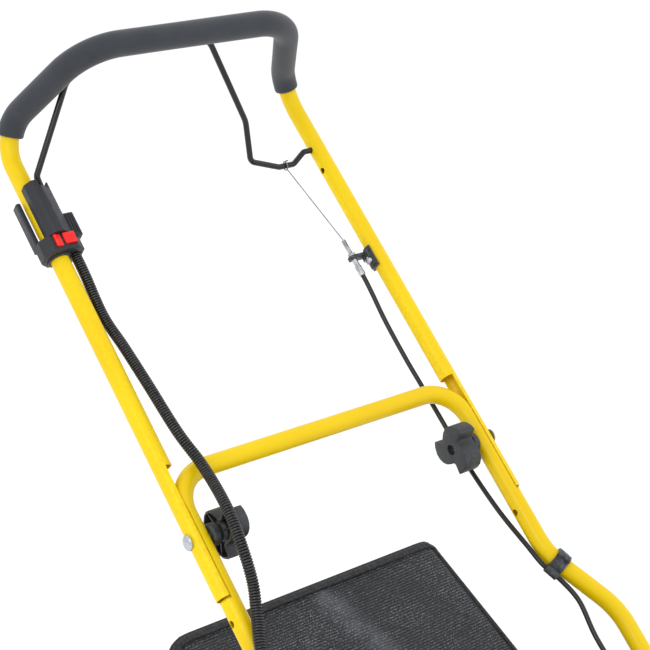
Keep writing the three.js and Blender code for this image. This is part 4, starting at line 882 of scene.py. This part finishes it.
def conduit_points():
    eye = [clip_eye(CONDUIT_CLIP, 0, 20.4, shift) for shift in (-20, -0.3, 0.3, 12, 26)]
    upper = [leg(-183, 2, 175.5), leg(-183.4, 2, 205), leg(-184.2, -1, 262), leg(-181.6, 5, 306.6),
             leg(-179.7, 12, 359), leg(-176.4, 19, 429), leg(-170.5, 23.5, 472), leg(-175, 38, 531),
             leg(-179, 37.6, 573), leg(-181.7, 27, 614), leg(-191, 21, 645), leg(-203, 20.6, 675),
             leg(-211, 20.4, 706), eye[0], eye[1]]
    lower = [eye[2], eye[3], eye[4], low(-246, -660, 362), low(-214, -740, 325), low(-160, -800, 315),
             low(-115, -828, 318), low(-100, -857, 318)]
    return upper, lower


RIB_PITCH = 3.1


def corrugated(run, _angle):
    """Conduit: round-topped ribs with narrow valleys."""
    phase = (run / RIB_PITCH) % 1.0
    return 4.9 + 1.55 * min(1.0, 1.3 * math.sin(math.pi * phase) ** 0.8)


def lines():
    spans = (("upper", ("upper_handle", "lower_handle"), leg(0, 0, 480), leg(0, 0, 700)),
             ("lower", ("lower_handle", "chassis"), leg(0, 0, 800), low(0, -790, 300)))
    for span, points in zip(spans, cable_points()):
        sheath = build(f"bowden_sheath_{span[0]}", [rod(spline(points, 4), 3.0, 20)])
        bendable(sheath, CABLE, "black_plastic", f"cable_outer_{span[0]}", *span[1:])
    for span, points in zip(spans, conduit_points()):
        ribs = rod(spline(points, RIB_PITCH / 6), corrugated, 24)
        hose = build(f"corrugated_conduit_{span[0]}", [ribs], math.radians(70))
        bendable(hose, CONDUIT, "black_plastic", f"conduit_{span[0]}", *span[1:])


# ---- Bag ----
BAG_MOUTH_Y, BAG_REAR_Y = -742.0, -332.0
CREASE_MOUTH_X, CREASE_REAR_X = 98.0, 5.0


def mix(a, b, t):
    return a + (b - a) * t


def bag_size(t):
    """Half width, corner radius, top and bottom at t of the bag's depth, from its mouth."""
    return mix(164, 199, t), mix(18, 24, t), mix(238, 379, t), mix(96, 112, t) - 20 * math.sin(math.pi * t)


def bag_section(t, count):
    """Points round the bag at t of its depth, from the middle of the bottom."""
    half, radius, top, bottom = bag_size(t)
    corners = [(half, bottom, -90), (half, top, 0), (-half, top, 90), (-half, bottom, 180)]
    line = [(0.0, bottom)]
    for x, z, turn in corners:
        cx = x - math.copysign(radius, x)
        cz = z - radius if z == top else z + radius
        line += [(cx + radius * math.cos(math.radians(turn + 9 * i)),
                  cz + radius * math.sin(math.radians(turn + 9 * i))) for i in range(11)]
    line.append((0.0, bottom))
    y = mix(BAG_MOUTH_Y, BAG_REAR_Y, t)
    ring = spaced([low(x, y, z) for x, z in line], sum(
        math.dist(a, b) for a, b in zip(line, line[1:])) / count)
    return ring[:count]


def sagging(point, t):
    """How cloth hangs between its sewn edges: low on top, full at the sides, creased here and there."""
    x, z = point.x, point.z
    half, _, top, bottom = bag_size(t)
    along = math.sin(math.pi * min(max(t, 0), 1)) ** 0.7
    across = math.cos(0.5 * math.pi * min(abs(x) / half, 1)) ** 0.6
    rise = (z - bottom) / (top - bottom)
    upright = math.sin(math.pi * min(max(rise, 0), 1)) ** 0.6
    wave = noise.noise(point * 0.011) * 3.2 + noise.noise(point * 0.028) * 1.3
    move = Vector((0, 0, 0))
    if rise > 0.93:
        ridge = 5 * math.exp(-((x - mix(CREASE_MOUTH_X, CREASE_REAR_X, t)) / 15) ** 2)
        move.z += along * across * (-8.5 + wave + ridge)
    elif rise < 0.07:
        move.z += along * across * (-5 + wave)
    else:
        move.x += math.copysign(along * upright * (2 + wave), x)
    return point + move


BAG_SIDES = 176


def bag_rings():
    steps = [i / 52 for i in range(53)]
    rings = [[sagging(p, t) for p in bag_section(t, BAG_SIDES)] for t in steps]
    flat = bag_section(1.0, BAG_SIDES)
    centre = low(0, BAG_REAR_Y, 245)
    for share, back in ((0.985, 1.2), (0.96, 1.8), (0.9, 2.4), (0.8, 3.2), (0.62, 4.4), (0.42, 5.2),
                        (0.2, 5.6), (0.03, 5.8)):
        ring = []
        for p in flat:
            q = centre.lerp(p, share)
            crease = noise.noise(q * 0.014) * 2.4
            ring.append(q + Vector((0, back + crease * (1 - share), 0)))
        rings.append(ring)
    return rings


def binding(path, width, thick, up):
    """A folded tape sewn over an edge, with the two rows of its stitching as grooves."""
    section = [(1, 0), (0.9, 0.75), (0.62, 1), (0.5, 0.72), (0.38, 1), (0, 1.12)]
    half = section + [(-a, b) for a, b in reversed(section[:-1])]
    outline = half + [(a, -b) for a, b in reversed(half[1:-1])]
    rings = []
    for point, u, v, _ in frames(path, up):
        rings.append([point + v * a * width / 2 + u * b * thick / 2 for a, b in outline])
    return grid(rings)


def bag():
    points, faces = grid(bag_rings(), caps=False)
    faces.append(tuple(range(len(points) - BAG_SIDES, len(points))))
    shell = build("collection_bag", [(points, faces)], math.radians(60))
    thick = shell.modifiers.new("cloth", "SOLIDIFY")
    thick.thickness = 1.4 * MM
    thick.offset = -1
    apply_modifiers(shell, math.radians(60))
    place(shell, BAG_CLOTH, "bag", "bag_fabric", "bag_fabric")
    tapes = []
    rear = [p + Vector((0, 0.4, 0)) for p in bag_section(0.985, 120)]
    rear.append(rear[0])
    tapes.append(binding(spaced(rear, 4), 15, 4.2, -Z_AXIS))
    for side in (1, -1):
        for z in (1, -1):
            line = []
            for i in range(61):
                t = mix(0.02, 0.975, i / 60)
                half, radius, top, bottom = bag_size(t)
                edge = top if z > 0 else bottom
                reach = radius * (1 - math.sqrt(0.5)) - 0.4
                line.append(low(side * (half - reach), mix(BAG_MOUTH_Y, BAG_REAR_Y, t), edge - z * reach))
            tapes.append(binding(line, 11, 3.6, Vector((side, 0, z)).normalized()))
    mouth = bag_section(0.0, 120)
    mouth.append(mouth[0])
    tapes.append(rod(spaced(mouth, 4), 4.4, 12))
    tape = build("bag_binding", tapes, math.radians(50))
    place(tape, BINDING, "bag", "bag_fabric")
    handle = [low(-60, BAG_REAR_Y + 2, 330), low(-60, BAG_REAR_Y + 26, 330),
              low(60, BAG_REAR_Y + 26, 330), low(60, BAG_REAR_Y + 2, 330)]
    grip = [rod(bent(handle, [10, 10], 8), lambda run, a: 5.6 + 0.4 * math.cos(2 * a), 24)]
    for x in (-60, 60):
        grip.append(prism(rounded_outline(x - 16, x + 16, 314, 346, 6), low(0, 0, 0), X_AXIS, Z_AXIS,
                          Y_AXIS, BAG_REAR_Y - 1.5, BAG_REAR_Y + 6.5))
    place(build("bag_carry_handle", grip), BLACK_PLASTIC, "bag", "black_plastic", "bag_handle")


ROW_PITCH, THREAD_PITCH = 0.0044, 0.0026


def woven(name):
    """Ribbed mesh cloth: rows along X, pale specks of yarn on them, open dark gaps between."""
    f = Finish(name, Roughness=0.82, Sheen_Weight=0.15, Sheen_Roughness=0.4)
    parts = f.add("ShaderNodeSeparateXYZ")
    wobble = f.noise(14, 3)
    f.link(f.place, parts.inputs[0])
    deep = f.math("ADD", parts.outputs["Y"], f.math("MULTIPLY", parts.outputs["Z"], 0.55))
    deep = f.math("ADD", deep, f.math("MULTIPLY", wobble, 0.004))
    rows = f.math("SINE", f.math("MULTIPLY", deep, 2 * math.pi / ROW_PITCH))
    across = f.math("ADD", parts.outputs["X"], f.math("MULTIPLY", wobble, 0.003))
    threads = f.math("SINE", f.math("MULTIPLY", across, 2 * math.pi / THREAD_PITCH))
    specks = f.remap(f.noise(860, 2, 0.6, at=f.scaled(0.6, 1, 1)), 0.52, 0.64)
    patches = f.remap(f.noise(16, 4, 0.6), 0.35, 0.7, 0.3, 0.8)
    on_rows = f.math("MULTIPLY", specks, f.remap(rows, -0.6, 0.6, 0.25, 1.0))
    light = f.math("MULTIPLY", on_rows, patches)
    tone = f.mix(f.remap(rows, -1, 1), linear(14, 15, 18), linear(40, 43, 50))
    # A lighter band along the crease ridge on top is a painted sheen highlight.
    slant = (CREASE_MOUTH_X - CREASE_REAR_X) / (BAG_REAR_Y - BAG_MOUTH_Y)
    start = (CREASE_REAR_X + slant * (BAG_REAR_Y + ROW_Y)) * MM
    aside = f.math("MULTIPLY", parts.outputs["Y"], slant)
    aside = f.math("ADD", aside, f.math("ADD", parts.outputs["X"], -start))
    ridge = f.remap(f.math("ABSOLUTE", aside), 0.0, 0.024, 1.0, 0.0)
    painted_crease_sheen = f.math("MULTIPLY", ridge, f.remap(f.noise(60, 3), 0.3, 0.7, 0.2, 0.75))
    tone = f.mix(painted_crease_sheen, tone, linear(92, 96, 104))
    f.colour(f.mix(light, tone, linear(168, 172, 180)))
    f.bump(rows, 0.5, 0.6)
    return f.bump(f.math("MULTIPLY", threads, rows), 0.35, 0.6).material


def ribbed_tape(name):
    f = Finish(name, Roughness=0.8)
    wave = f.noise(500, 2, at=f.scaled(1, 0.25, 1))
    f.colour(f.mix(f.remap(wave, 0.35, 0.65), linear(20, 21, 23), linear(50, 53, 57)))
    return f.bump(wave, 0.4, 0.8).material


BAG_CLOTH = woven("ribbed_mesh_cloth")
BINDING = ribbed_tape("ribbed_tape")


# ---- Wheels, turned pieces and the housing ----
WHEEL_X = (213.0, 251.0)
CENTRE = Vector((0, 0, 0))


def tyre(radius):
    """A tyre with shoulder lugs and a grooved tread."""
    x0, x1 = WHEEL_X
    seat = radius - 16.7
    profile = [(seat, x0 + 0.4), (radius - 11, x0), (radius - 5, x0 + 1.2), (radius - 1.6, x0 + 5),
               (radius, x0 + 9), (radius, x0 + 16), (radius - 1.8, x0 + 16.8), (radius - 1.8, x0 + 21.2),
               (radius, x0 + 22), (radius, x1 - 9), (radius - 1.6, x1 - 5), (radius - 5, x1 - 1.2),
               (radius - 11, x1), (seat, x1 - 0.4), (seat, x0 + 0.4)]
    count = 192
    rings = []
    for r, x in profile:
        ring = []
        for i in range(count):
            a = 2 * math.pi * i / count
            lug = 1.5 if r > radius - 2 and (i // 4) % 2 else 0
            ring.append(Vector((x, (r - lug) * math.cos(a), (r - lug) * math.sin(a))))
        rings.append(ring)
    return grid(rings, caps=False)


def rim(radius, body_name):
    """A moulded rim: rolled edge, dished web with windows, ribbed hub."""
    x0, x1 = WHEEL_X
    seat = radius - 17.2
    outline = [(6.4, x0 + 0.2), (17, x0 + 0.2), (18, x0 + 1.5), (18, 228.5), (seat - 6, 227.5),
               (seat - 5, x0 + 2), (seat - 3.5, x0 + 1), (seat, x0 + 1.2), (seat, x1 - 1.2),
               (seat - 3.5, x1 - 1), (seat - 5, x1 - 2), (seat - 6, 236.5), (24, 234.5), (18, x1 - 6),
               (16, x1 - 0.6), (6.4, x1 - 0.2), (6.4, x0 + 0.2)]
    web = tool(turned(outline, CENTRE, X_AXIS, 96))
    windows = []
    middle, half = (seat + 18) / 2, (seat - 6 - 18) / 2 - 5
    for k in range(7):
        turn = 2 * math.pi * k / 7
        angles = [turn + math.radians(-15 + 30 * i / 8) for i in range(9)]
        arc = [((middle + half) * math.cos(a), (middle + half) * math.sin(a)) for a in angles]
        arc += [((middle - half) * math.cos(a), (middle - half) * math.sin(a)) for a in reversed(angles)]
        windows.append(prism(arc, CENTRE, Y_AXIS, Z_AXIS, X_AXIS, 200, 260))
    combine(web, windows)
    bevelled(web, 0.7, 2, 40)
    web.name = body_name
    return web


def wheels():
    for end, y, radius in (("rear", REAR_AXLE_Y, 95), ("front", FRONT_AXLE_Y, 80)):
        axle = [(6, 251.3), (12, 251.3), (12, 252.6), (11, 254), (8, 255.4), (0, 255.8)]
        other = [(r, -x) for r, x in reversed(axle)]
        shaft = build(f"{end}_axle_shaft", [turned(other + axle, low(0, y, radius), X_AXIS)])
        place(shaft, ZINC, "chassis", "zinc_steel", f"{end}_axle")
        for side in ("right", "left"):
            body = f"{end}_wheel_{side}"
            part = build(f"{end}_treaded_tyre_{side}", on_side(side, [tyre(radius)]), math.radians(30))
            web = rim(radius, f"{end}_wheel_rim_{side}")
            if side == "left":
                web.data.transform(Matrix.Scale(-1, 4, X_AXIS))
                web.data.flip_normals()
            for piece in (part, web):
                piece.data.transform(Matrix.Translation(low(0, y, radius) * MM))
            place(part, TYRE, body, "tyre_rubber", f"{end}_tyre_{side}")
            place(web, BLACK_PLASTIC, body, "black_plastic", f"{end}_rim_{side}")


def turned_pieces():
    rotor_at, motor_at = low(0, -960, 150), low(0, -960, 332)

    def groove(radius, bore):
        return [(bore, 212), (radius + 2.4, 212), (radius + 3, 212.6), (radius + 3, 213.6), (radius, 215.2),
                (radius, 222.8), (radius + 3, 224.4), (radius + 3, 225.4), (radius + 2.4, 226), (bore, 226),
                (bore, 212)]

    foot = leg(0, 0, FOOT_S)
    bolt = [(0, 228.4), (6, 228.4), (8, 229.2), (8, 236.1), (4, 236.1), (4, 263.3),
            *[(r, x + 49.1) for r, x in dome(214.2)]]
    bearing = [(8.3, 197), (16.5, 197), (17.5, 198), (17.5, 203.3), (24, 203.3), (24, 205.6), (23.2, 206.3),
               (17.5, 206.3), (17.5, 207), (16.6, 208), (12, 208), (11.4, 207.2), (8.3, 207.2), (8.3, 197)]
    spindle = [(0, -214), (7.2, -214), (8, -213.2), (8, 228.2), (7.2, 229), (0, 229)]
    stub = [(0, 76), (6, 76), (6, 213), *groove(20, 6)[1:-2], (6, 226), (6, 228.4), (5.2, 229), (0, 229)]
    for name, node, profile, at, body, material, kind in (
        ("spindle", "rotor_shaft", spindle, rotor_at, "rotor", STEEL, "steel"),
        ("rotor_vee_pulley", "rotor_pulley", groove(45, 8.3), rotor_at, "rotor", STEEL, "steel"),
        ("motor_vee_pulley", "motor_pulley", stub, motor_at, "motor_rotor", STEEL, "steel"),
        ("bearing_unit_right", "bearing_right", bearing, rotor_at, "chassis", STEEL, "steel"),
        ("bearing_unit_left", "bearing_left", bearing, rotor_at, "chassis", STEEL, "steel"),
        ("foot_carriage_bolt_right", "foot_bolt_right", bolt, foot, "chassis", ZINC, "zinc_steel"),
        ("foot_carriage_bolt_left", "foot_bolt_left", bolt, foot, "chassis", ZINC, "zinc_steel"),
    ):
        parts = [turned(profile, at, X_AXIS, 64)]
        place(build(name, flipped(parts) if name.endswith("left") else parts), material, body, kind, node)


def dressed_nodes():
    """CAD nodes whose shape stays: softened edges and a finish."""
    for names, material, width in (
        (("deck", "side_plate_right", "side_plate_left"), YELLOW, 0.8),
        (("chute_floor", "handle_bracket_right", "handle_bracket_left", "bag_frame"), BLACK_STEEL, 0.6),
        (("motor_hood", "belt_cover"), BLACK_PLASTIC, 1.6),
        (("discharge_flap", "idler_pulley"), BLACK_PLASTIC, 0.8),
        (("blower_rotor",), GREY_PLASTIC, 0.8),
        (("idler_arm", "clutch_wire"), STEEL, 0.2),
        (("front_skirt", "drive_belt"), RUBBER, 0.6),
        (("motor",), CAST, 1.0),
    ):
        for name in names:
            obj = NODES[name]
            give(obj, material)
            for polygon in obj.data.polygons:
                polygon.use_smooth = True
            obj.data.set_sharp_from_angle(angle=math.radians(32))
            step = obj.modifiers.new("bevel", "BEVEL")
            step.width = width * MM
            step.segments = 2
            step.limit_method = "ANGLE"
            step.angle_limit = math.radians(40)


# ---- Camera, light and floor ----
CAMERA_LENS = 87.52
CAMERA_AHEAD = Vector((0.557, 0.7427, -0.3717))
CAMERA_RIGHT = Vector((0.8, -0.6, 0))
CAMERA_FROM_GRIP = Vector((-975.1, -1666.3, 479.4))
FLOOR_REACH = 30000
LAMPS = (
    ("key", (-2.4, -1.4, 3.2), 1.6, 22),
    ("fill", (2.6, -1.8, 2.2), 2.2, 8),
    ("back", (0.6, 3.0, 2.8), 1.8, 14),
)


def stage_and_camera():
    camera = bpy.data.objects.new("camera", bpy.data.cameras.new("camera"))
    bpy.context.scene.collection.objects.link(camera)
    camera.data.lens = CAMERA_LENS
    camera.data.sensor_width = 36
    ahead = CAMERA_AHEAD.normalized()
    right = (CAMERA_RIGHT - ahead * CAMERA_RIGHT.dot(ahead)).normalized()
    turn = Matrix((right, right.cross(ahead), -ahead)).transposed().to_4x4()
    at = (Vector((0, ROW_Y, BEND_HEIGHT)) + CAMERA_FROM_GRIP) * MM
    camera.matrix_world = Matrix.Translation(at) @ turn
    bpy.context.scene.camera = camera

    pale = Finish("pale_floor", Base_Color=(1, 1, 1, 1), Roughness=0.9).material
    square = ((-1, -1), (1, -1), (1, 1), (-1, 1))
    corners = [Vector((x * FLOOR_REACH, y * FLOOR_REACH, -0.5)) for x, y in square]
    floor = build("floor", [(corners, [(0, 1, 2, 3)])])
    give(floor, pale)

    world = bpy.data.worlds.new("studio")
    world.use_nodes = True
    world.node_tree.nodes["Background"].inputs["Color"].default_value = (1, 1, 1, 1)
    world.node_tree.nodes["Background"].inputs["Strength"].default_value = 1.0
    bpy.context.scene.world = world
    bpy.context.scene.view_settings.view_transform = "Standard"
    for name, place_at, size, energy in LAMPS:
        light = bpy.data.objects.new(name, bpy.data.lights.new(name, "AREA"))
        light.data.size = size
        light.data.energy = energy
        bpy.context.scene.collection.objects.link(light)
        light.location = place_at
        light.rotation_euler = (Vector((0, 0.2, 0.6)) - Vector(place_at)).to_track_quat("-Z", "Y").to_euler()


stage_and_camera()
upper_handle()
lower_handle()
handle_joint()
bail()
wire_and_hook()
adjuster()
cable_bracket()
switch_box()
clip("cable_snap_clip", "cable_clip", CABLE_CLIP, -16.8, 0, 3)
clip("conduit_snap_clip", "conduit_clip", CONDUIT_CLIP, 0, 20.4, 6.5)
lines()
bag()
wheels()
turned_pieces()
dressed_nodes()
